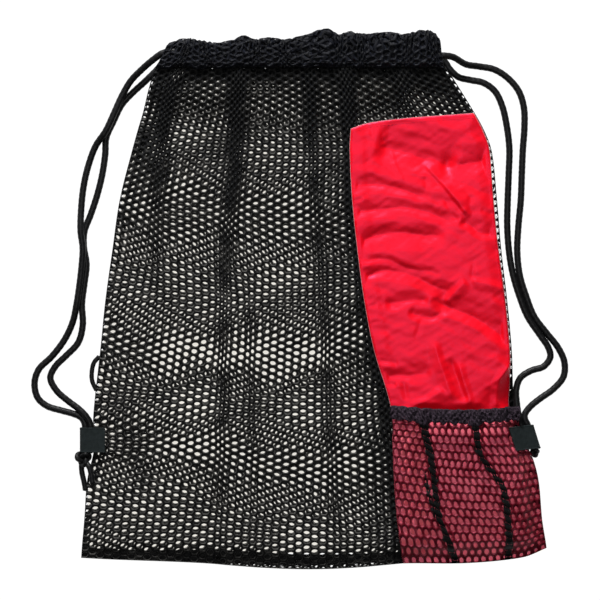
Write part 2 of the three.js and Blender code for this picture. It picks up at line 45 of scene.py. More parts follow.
def table(columns, rows):
    """Short table of numbers with named columns."""
    return {name: np.array(values, float) for name, values in zip(columns.split(), zip(*rows))}


def tables(columns, lists):
    """Several such tables with the same columns."""
    return [table(columns, rows) for rows in lists]


# Cloth and levels of the solids
NET = 1.6  # wall of the net
NYLON = 1.0  # wall of the red panel
PANEL_LIFT = 0.5  # clearance under the red panel and under the pocket
EDGE_Z = 5.0  # outer face of the front wall where it is sewn down
LOFT = 7.5  # how far the middle stands above the sewn edge
FLANGE = 5  # width of the sewn edge
SHOULDER = 20  # width of the rise from the edge to the middle
MOUTH_FROM = 150  # level where the wall starts to lift to the mouth
MOUTH_Y = 222  # stitch line under the casings
MOUTH_Z = 20.7  # the front wall meets its casing here
POCKET_EDGE_Z = 8.6
POCKET_LOFT = 7
POCKET_FLANGE = 4
POCKET_SHOULDER = 14
ELASTIC = 2.2
ELASTIC_TALL = 11.5
CASING_LEFT = -142
CASING_RIGHT = 122
CASING_TALL = 9.4
FRONT_CASING_Z = 16
BACK_CASING_DROP = 2

# Sides of the bag and left edge of the red panel
SIDES = table("y left right panel", [
    (-260, -223.5, 224.4, 88), (-240, -222.5, 224.4, 84.5), (-211, -220, 220, 80.5),
    (-173, -217.2, 216.5, 77.5), (-149, -211.6, 210, 76.5), (-134, -209.6, 202, 76),
    (-120, -211.6, 198.2, 76.5), (-96, -210, 193.2, 73), (-48, -204.6, 191.2, 58.5),
    (0, -199.7, 186.8, 49), (48, -193, 181.2, 42.5), (96, -186, 177, 37.5),
    (144, -174, 171.8, 35.2), (165, -168, 163.6, 36.2), (180, -163, 154.6, 36),
    (202, -157, 140, 33), (226, -149, 124, 30),
])
# Strip of net left free between the red panel and the bag's right edge
PANEL_GAP = table("y gap", [
    (-240, 1), (-128, 2.4), (-112, 6), (-98, 5.6), (-80, 3.4), (-40, 2.6), (0, 2.8), (40, 3.6), (70, 4.4),
    (124, 4.2), (150, 2.6), (180, 1.4),
])
BOTTOM = table("across y", [
    (0, -248), (0.06, -249.5), (0.24, -252.8), (0.38, -257.4), (0.48, -259), (0.58, -257.5),
    (0.7, -253), (0.84, -252.5), (0.95, -247), (1, -238),
])
PANEL_TOP = table("across y", [(0, 163.4), (0.12, 168.6), (0.4, 173.2), (1, 178.4)])
POCKET_TOP = table("across y", [(0, -115), (0.5, -118.5), (1, -116)])
RUFFLES = table("x top puff", [
    (-142, 243, 0), (-133, 247, 0.4), (-119, 249.6, 1.2), (-97, 246.2, 0.3), (-80, 247.5, 1),
    (-65, 252.5, 1.6), (-56, 249, 0.3), (-43, 250.6, 1.1), (-25, 249, 0.2), (-8, 253, 1),
    (15, 259.2, 1.8), (24, 253.5, 0.4), (34, 256.3, 1.3), (48, 254.2, 0.3), (70, 255.8, 1.4),
    (88, 254.2, 0.3), (105, 257.6, 1.5), (115, 255.4, 0.4), (122, 248, 0),
])

# Gathers of both walls, one table each: where the cloth bunches at each level, how many extra layers
# of cloth lie there, and the half width of the bunch
GATHERS = tables("y x extra half", [
    [
        (0, -150, 0, 6), (29, -150, 0.4, 6), (91, -150, 1.2, 6), (150, -145, 1.6, 6), (197, -137, 1.6, 6),
        (226, -125, 1.6, 7),
    ],
    [
        (-250, -89, 0.3, 6), (-149, -89, 0.9, 6), (-77, -87, 1.2, 6), (43, -84, 1.5, 7), (115, -76, 1.6, 7),
        (180, -73, 1.7, 7), (226, -70, 1.7, 7),
    ],
    [(-200, -58, 0.2, 5), (-100, -59, 0.7, 5), (0, -62, 0.7, 5), (40, -66, 0, 5)],
    [
        (-220, 24, 0.3, 6), (-197, 21, 0.8, 6), (-100, 15, 1.1, 6), (-29, 11, 1.1, 6), (60, 5, 1, 5),
        (120, 0, 0.9, 5), (226, -4, 0.9, 6),
    ],
    [
        (-250, 88, 0.4, 6), (-150, 76, 1, 8), (-96, 71, 1.4, 8), (0, 51, 1.8, 7), (96, 40, 2, 6),
        (165, 36, 2, 6), (226, 30, 2, 6),
    ],
    [(165, 92, 0.4, 9), (200, 86, 1.2, 8), (226, 84, 1.4, 8)],
])

# Soft folds that only narrow the holes: the line at each level, the share closed and the half width
LEFT_FOLD = table("y x close half", [
    (-250, -108, 0, 16), (-230, -120, 0.2, 17), (-206, -142, 0.26, 18), (-173, -161, 0.28, 18),
    (-125, -180, 0.26, 18), (-77, -192, 0.2, 16), (-45, -200, 0, 14),
])
BACK_FOLDS = [LEFT_FOLD]
FRONT_FOLDS = tables("y x close half", [
    [
        (-255, 72, 0.2, 26), (-150, 60, 0.28, 28), (-100, 54, 0.26, 26), (0, 32, 0.26, 26),
        (100, 20, 0.22, 22), (226, 14, 0.1, 20),
    ],
    # Along the red panel's left edge: holes closed as painted shade beside the edge
    [
        (-255, 84, 0.4, 9), (-120, 73, 0.7, 9), (-48, 56, 0.9, 8), (48, 41, 0.95, 7), (144, 33, 0.95, 7),
        (176, 34, 0.7, 8), (200, 34, 0.3, 8),
    ],
    [(150, 140, 0, 30), (172, 138, 0.35, 44), (226, 114, 0.35, 40)],
    [
        (-130, 200, 0.95, 10), (-96, 189, 0.95, 9), (-76, 187, 0.7, 7), (-60, 187, 0, 7),
    ],
    [
        (50, -184, 0, 20), (80, -178, 0.3, 24), (180, -152, 0.35, 24), (226, -140, 0.4, 24),
    ],
])
FOLD_RISE = 1.05  # height of a fold for each extra layer
FOLD_HALF = 17

# Gathers of the pocket, drawn tight into dark streaks
POCKET_GATHERS = tables("y x extra half", [
    [
        (-255, 138, 7, 2.8), (-235, 131, 6.5, 2.4), (-220, 125, 6, 2.2), (-203, 119, 5.6, 2.1),
        (-180, 116, 5.4, 2.1), (-156, 113, 6, 2.4), (-132, 108, 6.5, 2.6), (-112, 103, 7, 3),
    ],
    [
        (-255, 188, 7, 3), (-220, 186, 6, 2.4), (-180, 181, 4, 2.3), (-163, 170, 1.4, 2.6),
        (-149, 160, 4.6, 2.3), (-132, 156, 6, 2.4), (-112, 153, 7, 2.8),
    ],
    [
        (-214, 119, 0, 1.5), (-200, 114.7, 2, 1.5), (-184, 109.8, 2.4, 1.5), (-160, 106, 0, 1.5),
    ],
])
POCKET_FOLD_RISE = 0.6
POCKET_FOLD_HALF = 9

# Gathers of the casings, from the stitch line to the top: where the drawn cloth bunches
CASING_GATHERS = [
    table("up x extra half", [(0, x, 2.2, 4.5), (1, x + lean, 2.2, 4.5)])
    for x, lean in [(-124, 6), (-97, -8), (-56, 4), (-25, -5), (24, 3), (48, -3), (88, 5), (115, -2)]
]

# Nets: columns and rows of cells, width and height of a cell, half width and half height of a hole
LATTICES = {
    "wall": dict(columns=62, rows=70, pitch=7.2, period=6.8, hole=(2.95, 2.2)),
    "casing": dict(columns=62, rows=12, pitch=7.2, period=7.0, hole=(2.9, 2.5)),
    "pocket": dict(columns=18, rows=29, pitch=7.65, period=6.5, hole=(3.05, 2.1)),
}
BACK_SPARE = 6  # columns that the back wall's cloth has to spare at each side, since it lies askew
# How far the back wall's columns lie aside of the front's at each level, in columns
BACK_SLIDE = table("y columns", [(-252, -3.5), (-144, -2), (-45, 0), (75, 2), (192, 3.7), (223, 4.4)])
# How far its rows lie below the front's, how much more or less where whole columns meet, and the levels
# where the rows meet too, so that the holes show bright
BACK_DROP = 1.7
BACK_SWING = 0.7
BACK_MEETS = [(-144, 0.38), (-45, 0.95)]
BACK_MEET_HALF = 44
BACK_STRETCH = 0.0066  # how much further apart its columns and rows lie than the front's
BACK_MIDDLE = 0.49  # place across from which it stretches
STRAND_HALF = 0.55  # half height of a strand
STRAND_EDGE = 0.7  # strand left along a net's cut edge

# Red panel's wrinkles: height of the line, width of its left and right slopes seen along the line, points
WRINKLES = [
    (-5, 34, 26, [(58, 148), (76, 144), (90, 140), (107, 135), (122, 131), (138, 125)]),
    (-3.8, 19, 24, [(120, 126), (134, 128.4), (146, 130.5), (167, 133), (192, 136)]),
    (2.2, 12, 3, [(104, 132), (119, 117), (135, 98), (150, 78)]),
    (-1.2, 7, 7, [(112, 120), (128, 114), (144, 111), (169, 101), (178, 97)]),
    (-2.2, 13, 9, [(24, 105), (46, 110), (61, 110), (80, 107), (97, 101), (114, 94)]),
    (-2.2, 11, 9, [(24, 79), (46, 85), (60, 86), (76, 88), (90, 88), (107, 84), (125, 77), (139, 69)]),
    (-3.2, 11, 17, [(30, 40), (46, 55), (55, 60), (68, 63), (85, 65), (104, 62), (117, 62), (131, 59)]),
    (-2.3, 13, 6, [(139, 74), (151, 71), (157, 65), (168, 63), (179, 65)]),
    (-1.6, 6, 6, [(44, 36), (58, 39), (70, 39), (79, 36), (90, 31), (107, 28), (125, 24)]),
    (-2.7, 9, 10, [(36, 13), (61, 27), (76, 28), (90, 25), (101, 21), (113, 14), (125, 10), (139, 8)]),
    (0.6, 3, 3, [(74, 145), (79, 128), (87, 111)]),
    (-0.6, 4, 4, [(107, 118), (109, 104)]),
    (-0.8, 5, 4, [(126, 98), (130, 87), (139, 74)]),
    (-0.7, 4, 5, [(151, 101), (150, 88), (155, 82)]),
    (-0.6, 4, 4, [(160, 86), (174, 82)]),
    (-0.6, 4, 4, [(153, 35), (152, 21)]),
    (-0.5, 3, 3, [(55, 164), (57, 155)]),
    (-0.5, 3, 3, [(65, 160), (68, 150)]),
    (-4.1, 24, 9, [(112, 2), (129, -7), (150, -15), (168, -26), (185, -38), (193, -42)]),
    (-2.2, 11, 8, [(68, -4), (90, -1), (112, 0)]),
    (1.6, 6, 10, [(126, -4), (134, 6), (147, 19)]),
    (1.4, 6, 8, [(150, 19), (168, 15), (186, 9)]),
    (-1.9, 11, 6, [(90, -11), (107, -17), (119, -15), (126, -9)]),
    (-0.6, 5, 4, [(104, -18), (97, -38)]),
    (2, 6, 9, [(115, -38), (121, -59), (128, -79), (134, -97)]),
    (-2, 9, 5, [(148, -99), (138, -74), (131, -54)]),
    (1.4, 6, 6, [(139, -59), (145, -83), (151, -102)]),
    (-2, 11, 10, [(60, -74), (90, -72), (116, -70)]),
    (-1.1, 4, 4, [(60, -58), (82, -61)]),
    (-1.1, 4, 4, [(66, -77), (80, -82)]),
    (-1.1, 5, 5, [(86, -77), (90, -97)]),
    (1.8, 6, 12, [(91, -103), (112, -94), (126, -84)]),
    (2.3, 7, 12, [(175, -108), (178, -78), (190, -60)]),
    (-0.5, 3, 3, [(46, 21), (60, 25)]),
    (-0.5, 3, 3, [(50, -7), (62, -4)]),
    (-0.5, 3, 3, [(55, -22), (66, -20)]),
    (-0.5, 3, 3, [(37, 94), (48, 97)]),
]
WRINKLE_STEPS = 14  # points along each wrinkle
WRINKLE_FADE = 0.16  # share of a wrinkle's length over which it fades out
WRINKLE_POWER = 1.25  # how sharply a wrinkle's line is creased

# Cords: diameters, and routes as the photo shows them
CORD = 6.6
LOOP_CORD = 4.6
TAIL = 5.4
CORD_FRONT_ROUTE = [
    (-219.4, -146.4, 4.6), (-219.4, -134, 4.6), (-219.6, -119, 4.2), (-223.2, -113, 3.4),
    (-231, -109.4, 3), (-242, -106.4, 2.8), (-256, -102, 2.8), (-265, -94, 2.8), (-268, -80, 2.8),
    (-264, -67, 2.8), (-251, -54, 2.9), (-239, -38, 3.2), (-231, -21, 5), (-227, -4, 7.6),
    (-224, 16, 7.6), (-222, 34, 7.6), (-221, 50, 8.4), (-223, 66, 8.6), (-223, 86, 5), (-221, 108, 3),
    (-216, 130, 3.2), (-209, 148, 5), (-199, 162, 8.6), (-191, 179, 8.6), (-184, 195, 7), (-175, 210, 9),
    (-164, 220.4, 14), (-153, 229, 18.8), (-143, 235.4, 20.7), (-132, 237, 20.7), (-110, 234, 20.7),
    (-10, 233, 20.7), (110, 233, 20.7), (122, 233, 20.7), (133, 232, 18.6), (147, 226, 9),
    (160, 224.6, 4.2), (174, 222, 3), (187, 214, 2.8), (198, 201, 2.8), (203, 185, 2.8),
    (203.5, 166, 2.8), (202, 145, 2.8), (201, 122, 2.8),
    (200, 96, 2.8), (197.6, 70, 2.8), (196.6, 46, 2.8), (199, 24, 2.8), (205, 4, 2.8), (213, -16, 2.8),
    (225, -32, 2.8), (236, -46, 2.8), (242, -60, 2.8), (241, -74, 2.8), (231, -86, 2.8), (219, -94.6, 2.8),
    (209.2, -102.6, 3.1), (203.8, -110, 4), (203.9, -115, 4.6), (205.6, -118.3, 4.6), (210.1, -129.1, 4.6),
    (214.4, -140.3, 4.6),
]
CORD_BACK_ROUTE = [
    (-213.6, -146.4, 4.6), (-213.6, -134, 4.6), (-214.4, -119, 5.2), (-218.4, -111.6, 5.6),
    (-225.4, -104.8, 4.4), (-235.4, -97.4, 3), (-247, -87, 2.8), (-252.8, -75, 2.8), (-248, -64, 2.8),
    (-238, -54, 2.8), (-226, -41, 2.8), (-221.6, -24, 2.8), (-222.4, -4, 2.8), (-220, 16, 2.8),
    (-218, 34, 2.8), (-220.6, 52, 2.8), (-220, 66, 2.8), (-214, 82, 2.8), (-208, 100, 2.8),
    (-203, 120, 2.8), (-200, 140, 2.8), (-199, 156, 2.8), (-192, 172, 2.8), (-184, 188, 2.8),
    (-173, 200, 2.8), (-163, 209, 3.8), (-153, 218.4, 4.7), (-146, 225.6, 4.7), (-140, 230, 4.7),
    (-126, 233, 4.7), (-10, 233, 4.7), (110, 233, 4.7), (122, 233, 4.7), (127, 229, 4.7),
    (131.6, 222, 4.6), (140, 214.6, 3.4), (152, 211.6, 2.8), (164, 209, 2.8), (175, 201, 2.8),
    (182, 187, 2.8), (186.4, 168, 2.8), (189, 146, 2.8), (188.4, 122, 2.8), (187.4, 96, 2.8),
    (187, 70, 2.8), (189, 44, 2.8), (192.6, 24, 2.8), (198.6, 4, 2.8), (206.6, -16, 2.8), (218, -33, 2.8),
    (226.6, -46, 2.8), (228.4, -55, 2.8), (222, -64, 2.8), (210, -68, 2.8), (199.6, -75, 2.8),
    (195.6, -86, 3.4), (196, -100, 5.4), (197.4, -110, 6.6), (199.3, -117.1, 5), (204.7, -131.1, 4.6),
    (208.9, -142.4, 4.6),
]
LOOP_ROUTE = [
    (-206, -54.6, 2.4), (-211, -60.6, 2.4), (-213, -69.6, 2.4), (-212.6, -78, 2.4), (-208.6, -86.8, 2.4),
]
TAILS = [
    [(-223, -156, 3), (-222.4, -166, 3), (-220.4, -175, 3), (-219, -183, 3)],
    [(-218, -156, 6), (-214.6, -161, 8.6), (-212.8, -168, 8.8), (-211.6, -176, 9)],
]
# Knots: middle, half size, and half thickness of the drawn cord
KNOT_LEFT = dict(centre=(-221, -152.4, 5), size=6.4, radius=2.5)
KNOT_RIGHT = dict(centre=(213.5, -146.8, 3.7), size=3.2, radius=1.9)

# Tabs: point of the bag's edge in the middle of each tab, turn of its edge, lean of its run outwards, and
# level of its sewn part at the edge and at its inner end
TABS = {
    "tab_left": dict(x=-210.6, y=-134.5, turn=math.pi, lean=math.pi, edge=7.7, inner=8),
    "tab_right": dict(x=201.9, y=-132.2, turn=0.3, lean=0.08, edge=8.9, inner=15.2),
}
TAB = 23  # width of the webbing
WEBBING = 1.5
TAB_OUT = 13.6  # how far a tab reaches out past the bag's edge, and in from it
TAB_IN = 11
TAB_TOP = 9  # levels of the fold's upper and lower layer
TAB_LOW = 0.5

# Camera: straight above the middle of the picture, with a picture as wide as this at the bag
VIEW_X = -12.5
VIEW_WIDE = 576
VIEW_HIGH = 1800
VIEW_LEVEL = 8
VIEW_END = 20000
SENSOR = 36

# Studio: lights by place and size in metres, the white floor, and its cream part under the bag, which glows
# less than the floor around as painted shade under the bag
LIGHTS = {
    "key": dict(place=(-0.3, 1.7, 0.75), size=0.4, power=61),
    "top": dict(place=(-0.02, 0.05, 2.5), size=0.4, power=15),
}
WORLD_LIGHT = 0.08
FLOOR_HALF = 6000
FLOOR_TURN = 4  # turn of the floor's outer edge where it starts, beside the bag's lower left corner
UNDER_INSET = 2
UNDER_FROM = -244
UNDER_LEVELS = 60
FLOORS = [
    # Cream floor under the bag, whose weaker glow is painted shade under the bag
    dict(name="floor_under_painted_shade", albedo=(0.3, 0.28, 0.25), glow=(1, 0.97, 0.9), strength=0.7),
    dict(name="floor_around", albedo=(0.04, 0.04, 0.04), glow=(1, 1, 1), strength=1.02),
]

# Small maths

CURVE_STEPS = 24  # points worked out between two points of a curve
WAVE_REACH = (0.6, 1.6)  # shares of its given length that a wave's length lies between
TINY = 1e-9


def lerp(a, b, share):
    """Value at a share of the way from one to another."""
    return a + (b - a) * share


def ramp(low, high, value):
    """Smooth step from 0 at one value to 1 at another."""
    share = np.clip((value - low) / (high - low), 0, 1)
    return share * share * (3 - 2 * share)


def hill(offset, half):
    """Rounded hill of height 1 in the middle and 0 at the half width."""
    return 0.5 + 0.5 * np.cos(np.pi * np.minimum(np.abs(offset) / half, 1))


def through(rows, key, column, value):
    """Smooth curve through a column of a table."""
    keys = rows[key]
    values = rows[column]
    value = np.asarray(value, float)
    last = len(keys) - 1
    i = np.searchsorted(keys[1:last], value)
    before = np.maximum(i - 1, 0)
    after = np.minimum(i + 2, last)
    width = keys[i + 1] - keys[i]
    share = np.clip((value - keys[i]) / width, 0, 1)
    slope_a = (values[i + 1] - values[before]) / (keys[i + 1] - keys[before]) * width
    slope_b = (values[after] - values[i]) / (keys[after] - keys[i]) * width
    s2 = share**2
    s3 = share**3
    return (
        (2 * s3 - 3 * s2 + 1) * values[i] + (s3 - 2 * s2 + share) * slope_a
        + (3 * s2 - 2 * s3) * values[i + 1] + (s3 - s2) * slope_b
    )


def straight(rows, key, column, value):
    """Straight runs between the rows of a table."""
    return np.interp(value, rows[key], rows[column])


def sample(grid, across, up):
    """Value of a grid of levels by places across, at shares from 0 to 1."""
    rows, columns = grid.shape
    a = np.clip(across, 0, 1) * (columns - 1)
    b = np.clip(up, 0, 1) * (rows - 1)
    i = np.minimum(a.astype(int), columns - 2)
    j = np.minimum(b.astype(int), rows - 2)
    low = lerp(grid[j, i], grid[j, i + 1], a - i)
    high = lerp(grid[j + 1, i], grid[j + 1, i + 1], a - i)
    return lerp(low, high, b - j)


def waves(seed, count, long_x, long_y):
    """Smooth seeded unevenness between about -1 and 1, from waves of about these lengths."""
    draw = np.random.default_rng(seed)
    reach = draw.uniform(*WAVE_REACH, (count, 2))
    turn = draw.choice([-1, 1], count)
    phase = draw.uniform(0, 2 * np.pi, count)

    def height(x, y):
        total = np.zeros(np.broadcast(x, y).shape)
        for k in range(count):
            kx = 2 * np.pi / (long_x * reach[k, 0])
            ky = 2 * np.pi / (long_y * reach[k, 1]) * turn[k]
            total += np.sin(kx * x + ky * y + phase[k])
        return total / math.sqrt(count)

    return height


def catmull(points, count):
    """Evenly spaced points on a smooth curve through the points."""
    p = np.array(points, float)
    p = np.vstack([2 * p[0] - p[1], p, 2 * p[-1] - p[-2]])
    knots = np.concatenate([[0], np.cumsum(np.sqrt(np.linalg.norm(np.diff(p, axis=0), axis=1)))])
    fine = []
    for i in range(1, len(p) - 2):
        t0, t1, t2, t3 = knots[i - 1 : i + 3]
        t = np.linspace(t1, t2, CURVE_STEPS, endpoint=False)[:, None]
        a1 = ((t1 - t) * p[i - 1] + (t - t0) * p[i]) / (t1 - t0)
        a2 = ((t2 - t) * p[i] + (t - t1) * p[i + 1]) / (t2 - t1)
        a3 = ((t3 - t) * p[i + 1] + (t - t2) * p[i + 2]) / (t3 - t2)
        b1 = ((t2 - t) * a1 + (t - t0) * a2) / (t2 - t0)
        b2 = ((t3 - t) * a2 + (t - t1) * a3) / (t3 - t1)
        fine.append(((t2 - t) * b1 + (t - t1) * b2) / (t2 - t1))
    fine = np.vstack(fine + [p[-2:-1]])
    run = run_along(fine)
    at = np.linspace(0, run[-1], count)
    return np.stack([np.interp(at, run, fine[:, k]) for k in range(p.shape[1])], 1)


def run_along(points):
    """Length of the way from the first point to each point."""
    return np.concatenate([[0], np.cumsum(np.linalg.norm(np.diff(points, axis=0), axis=1))])


def length_of(points):
    """Length of the way along all the points."""
    return float(np.linalg.norm(np.diff(points, axis=0), axis=1).sum())


# Meshes

TIP_BULGE = 0.45  # how far a tube's tip stands out, as a share of its radius


def add_mesh(name, points, faces, finish):
    """Smooth mesh from points in millimetres and faces, or a list of faces by their number of corners."""
    groups = faces if isinstance(faces, list) else [faces]
    loops = np.concatenate([group.ravel() for group in groups])
    sizes = np.concatenate([np.full(len(group), group.shape[1]) for group in groups])
    starts = np.concatenate([[0], np.cumsum(sizes)[:-1]])
    mesh = bpy.data.meshes.new(name)
    mesh.vertices.add(len(points))
    mesh.vertices.foreach_set("co", (points * MM).astype(np.float32).ravel())
    mesh.loops.add(len(loops))
    mesh.loops.foreach_set("vertex_index", loops.astype(np.int32))
    mesh.polygons.add(len(sizes))
    mesh.polygons.foreach_set("loop_start", starts.astype(np.int32))
    mesh.polygons.foreach_set("use_smooth", np.ones(len(sizes), bool))
    mesh.update(calc_edges=True)
    mesh.validate()
    mesh.materials.append(finish)
    obj = bpy.data.objects.new(name, mesh)
    bpy.context.scene.collection.objects.link(obj)
    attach(obj, "root")
    return obj


def normals_of(grid):
    """Normals of a grid of points, rows by columns, with columns to the right and rows up."""
    across = np.gradient(grid, axis=1)
    along = np.gradient(grid, axis=0)
    normal = np.cross(across, along)
    return normal / np.maximum(np.linalg.norm(normal, axis=2, keepdims=True), TINY)


def wall(outer, thickness):
    """Closed wall under a grid of outer points: its points and its four-cornered faces."""
    rows, columns = outer.shape[:2]
    inner = outer - normals_of(outer) * thickness
    ids = np.arange(rows * columns).reshape(rows, columns)
    front = np.stack([ids[:-1, :-1], ids[:-1, 1:], ids[1:, 1:], ids[1:, :-1]], 2).reshape(-1, 4)
    back = front[:, ::-1] + rows * columns
    loop = np.concatenate([ids[0, :-1], ids[:-1, -1], ids[-1, :0:-1], ids[:0:-1, 0]])
    after = np.roll(loop, -1)
    shift = rows * columns
    rim = np.stack([loop + shift, after + shift, after, loop], 1)
    points = np.concatenate([outer.reshape(-1, 3), inner.reshape(-1, 3)])
    return points, np.concatenate([front, back, rim])


def closed_tube(rings, tips, turned=False):
    """Points and faces of a tube by its rings of points, closed at both ends by its tips. The faces are
    turned round where the rings run the other way."""
    count, sides = rings.shape[:2]
    ids = np.arange(count * sides).reshape(count, sides)
    right = np.roll(ids, -1, axis=1)
    skin = np.stack([ids[:-1], right[:-1], right[1:], ids[1:]], 2).reshape(-1, 4)
    tip = np.full(sides, count * sides)
    start = np.stack([tip, right[0], ids[0]], 1)
    end = np.stack([tip + 1, ids[-1], right[-1]], 1)
    faces = [skin, np.concatenate([start, end])]
    if turned:
        faces = [np.roll(group[:, ::-1], 1, axis=1) for group in faces]
    return np.concatenate([rings.reshape(-1, 3), tips]), faces


def tube(path, radius, sides, relief=None):
    """Closed tube along evenly spaced points: its points and faces. The relief gives a share of the radius
    at a turn round the tube and a length along it."""
    count = len(path)
    ahead = np.gradient(path, axis=0)
    ahead /= np.linalg.norm(ahead, axis=1, keepdims=True)
    out = np.empty_like(path)
    side = np.cross(ahead[0], (0, 0, 1.0))
    out[0] = side / np.linalg.norm(side)
    for k in range(1, count):
        side = out[k - 1] - ahead[k] * out[k - 1].dot(ahead[k])
        out[k] = side / np.linalg.norm(side)
    up = np.cross(ahead, out)
    turn = np.linspace(0, 2 * np.pi, sides, endpoint=False)
    along = np.linspace(0, length_of(path), count)
    size = np.full((count, sides), float(radius))
    if relief:
        size *= relief(turn[None, :], along[:, None])
    rings = path[:, None] + size[..., None] * (
        out[:, None] * np.cos(turn)[None, :, None] + up[:, None] * np.sin(turn)[None, :, None]
    )
    bulge = TIP_BULGE * radius
    return closed_tube(rings, np.stack([path[0] - ahead[0] * bulge, path[-1] + ahead[-1] * bulge]))


def join(parts):
    """One set of points and faces from several."""
    points = []
    groups = {}
    shift = 0
    for part_points, part_faces in parts:
        for group in part_faces if isinstance(part_faces, list) else [part_faces]:
            groups.setdefault(group.shape[1], []).append(group + shift)
        points.append(part_points)
        shift += len(part_points)
    return np.concatenate(points), [np.concatenate(found) for found in groups.values()]


# Cell of a net, in eighths of a column and half periods
CELL_CORNERS = np.array([(5, 0), (3, 1), (-3, 1), (-5, 0), (-3, -1), (3, -1)])
HOLE_POINTS = 12
HOLE_DRAWN = 0.6  # how much of a hole's loss of width its height follows, as a power
SLOPE_STEP = 0.4  # length of cloth over which the surface's slope is taken
RIM_UNLIT_OPENING = 0.3  # a hole this share open gets no painted light along its rim
RIM_LIT_OPENING = 0.85  # and from this share its rim gets the full painted light


def net(lattice, surface, opening, inside=None):
    """Knitted net on a surface given by two lengths of cloth: six-sided cells of round strands with an oval
    hole each, every second column set half a cell up. The opening is the share of a hole's width left, and
    the inside says which cells are kept."""
    columns = lattice["columns"]
    rows = lattice["rows"]
    i, j = (a.ravel() for a in np.meshgrid(np.arange(columns), np.arange(rows + 1), indexing="ij"))
    scale = np.array([lattice["pitch"] / 8, lattice["period"] / 2])
    span = np.array([8 * (columns - 1) + 6, 2 * rows])
    centre = np.stack([8 * i + 3, 2 * j + 1 - i % 2], 1)
    kept = (i % 2 == 1) | (j < rows)
    if inside:
        kept &= inside(*(centre * scale).T)
    centre = centre[kept]
    marks = np.clip(centre[:, None] + CELL_CORNERS, 0, span)
    keys, corner = np.unique(marks.reshape(-1, 2), axis=0, return_inverse=True)
    corner = corner.reshape(-1, 6)
    corner_at = keys * scale
    centre_at = centre * scale
    turn = np.linspace(0, 2 * np.pi, HOLE_POINTS, endpoint=False)
    half = np.array(lattice["hole"])
    share = opening(*centre_at.T)
    reach = np.stack([share, share**HOLE_DRAWN], 1) * half
    hole_at = centre_at[:, None] + reach[:, None] * np.stack([np.cos(turn), np.sin(turn)], 1)
    hole_at = np.clip(hole_at, STRAND_EDGE, span * scale - STRAND_EDGE).reshape(-1, 2)
    u, v = corner_at.T
    du = surface(u + SLOPE_STEP, v) - surface(u - SLOPE_STEP, v)
    dv = surface(u, v + SLOPE_STEP) - surface(u, v - SLOPE_STEP)
    normal = np.cross(du, dv)
    normal /= np.maximum(np.linalg.norm(normal, axis=1, keepdims=True), TINY)
    middle = surface(u, v)
    count = len(middle)
    points = np.concatenate([
        middle + normal * STRAND_HALF, middle - normal * STRAND_HALF, surface(*hole_at.T),
    ])
    hole = 2 * count + np.arange(len(hole_at)).reshape(-1, HOLE_POINTS)
    faces = []
    for k in range(6):
        a = corner[:, k]
        b = corner[:, (k + 1) % 6]
        near = hole[:, 2 * k]
        mid = hole[:, 2 * k + 1]
        far = hole[:, (2 * k + 2) % HOLE_POINTS]
        for one, two, three in ((a, b, mid), (a, mid, near), (b, far, mid)):
            faces.append(np.stack([one, two, three], 1))
            below = [np.where(ids < count, ids + count, ids) for ids in (three, two, one)]
            faces.append(np.stack(below, 1))
    edges = np.stack([corner, np.roll(corner, -1, axis=1)], 2).reshape(-1, 2)
    code = edges[:, 0] * count + edges[:, 1]
    back = edges[:, 1] * count + edges[:, 0]
    border = edges[~np.isin(code, back)]
    faces.append(np.stack([border[:, 0] + count, border[:, 1] + count, border[:, 1]], 1))
    faces.append(np.stack([border[:, 0] + count, border[:, 1], border[:, 0]], 1))
    # Painted light along the hole rims, fuller where a hole is more open
    rim = np.zeros(len(points))
    rim[2 * count :] = np.repeat(ramp(RIM_UNLIT_OPENING, RIM_LIT_OPENING, share), HOLE_POINTS)
    return points, np.concatenate(faces), rim


def net_mesh(name, parts, finish, lining=None):
    """Mesh of a net that is marked along the rims of its holes, where painted light goes, with a lining if
    one is given.
    """
    points, faces, rim = parts
    if lining:
        points, faces = join([(points, faces), lining])
    obj = add_mesh(name, points, faces, finish)
    mark = obj.data.attributes.new("rim", "FLOAT", "POINT")
    mark.data.foreach_set("value", np.pad(rim, (0, len(points) - len(rim))))
    return obj


# Stitch: a grain of thread, as shares of its length with their share of its radius
STITCH_RINGS = [(0, 0.35), (0.2, 0.85), (0.5, 1), (0.8, 0.85), (1, 0.35)]
STITCH_SIDES = 6
STITCH_RISE = 0.6  # how far its middle stands up, as a share of its radius


def stitches(line, long, gap, radius):
    """Row of stitches along a line of points, lying on them."""
    total = length_of(line)
    run = run_along(line)
    count = max(int(total / (long + gap)), 1)
    starts = np.arange(count) * total / count
    share, size = np.array(STITCH_RINGS).T
    parts = []

    def taper(turn, along):
        return np.interp(along / along[-1, 0], share, size * radius) + 0 * turn

    for start in starts:
        at = np.interp(start + share * long, run, np.arange(len(line)))
        path = np.stack([np.interp(at, np.arange(len(line)), line[:, k]) for k in range(3)], 1)
        path[:, 2] += radius * STITCH_RISE * np.sin(np.pi * share)
        parts.append(tube(path, 1, STITCH_SIDES, taper))
    return join(parts)


# Shapes of the bag

GATHER_PLACES = 700  # places across the cloth at which the gathers are worked out


def side_at(name, y):
    """Place of the bag's left or right side, or of the red panel's left edge, at a level."""
    return through(SIDES, "y", name, y)


def bottom_at(across):
    """Level of the bag's bottom edge at a share of the way across."""
    return through(BOTTOM, "across", "y", across)


def edges_at(y):
    """Left and right side of the bag."""
    return side_at("left", y), side_at("right", y)


def fold_rise(x, y, gathers, rise, half):
    """Height of the folds that the gathers throw up."""
    total = np.zeros(np.broadcast(x, y).shape)
    for gather in gathers:
        line = through(gather, "y", "x", y)
        extra = np.maximum(straight(gather, "y", "extra", y), 0)
        total += rise * extra * hill(x - line, half)
    return total


def inside_of(x, y):
    """Distance from the nearest sewn edge of the bag."""
    left, right = edges_at(y)
    floor = bottom_at(np.clip((x - left) / (right - left), 0, 1))
    return np.minimum(np.minimum(x - left, right - x), y - floor)


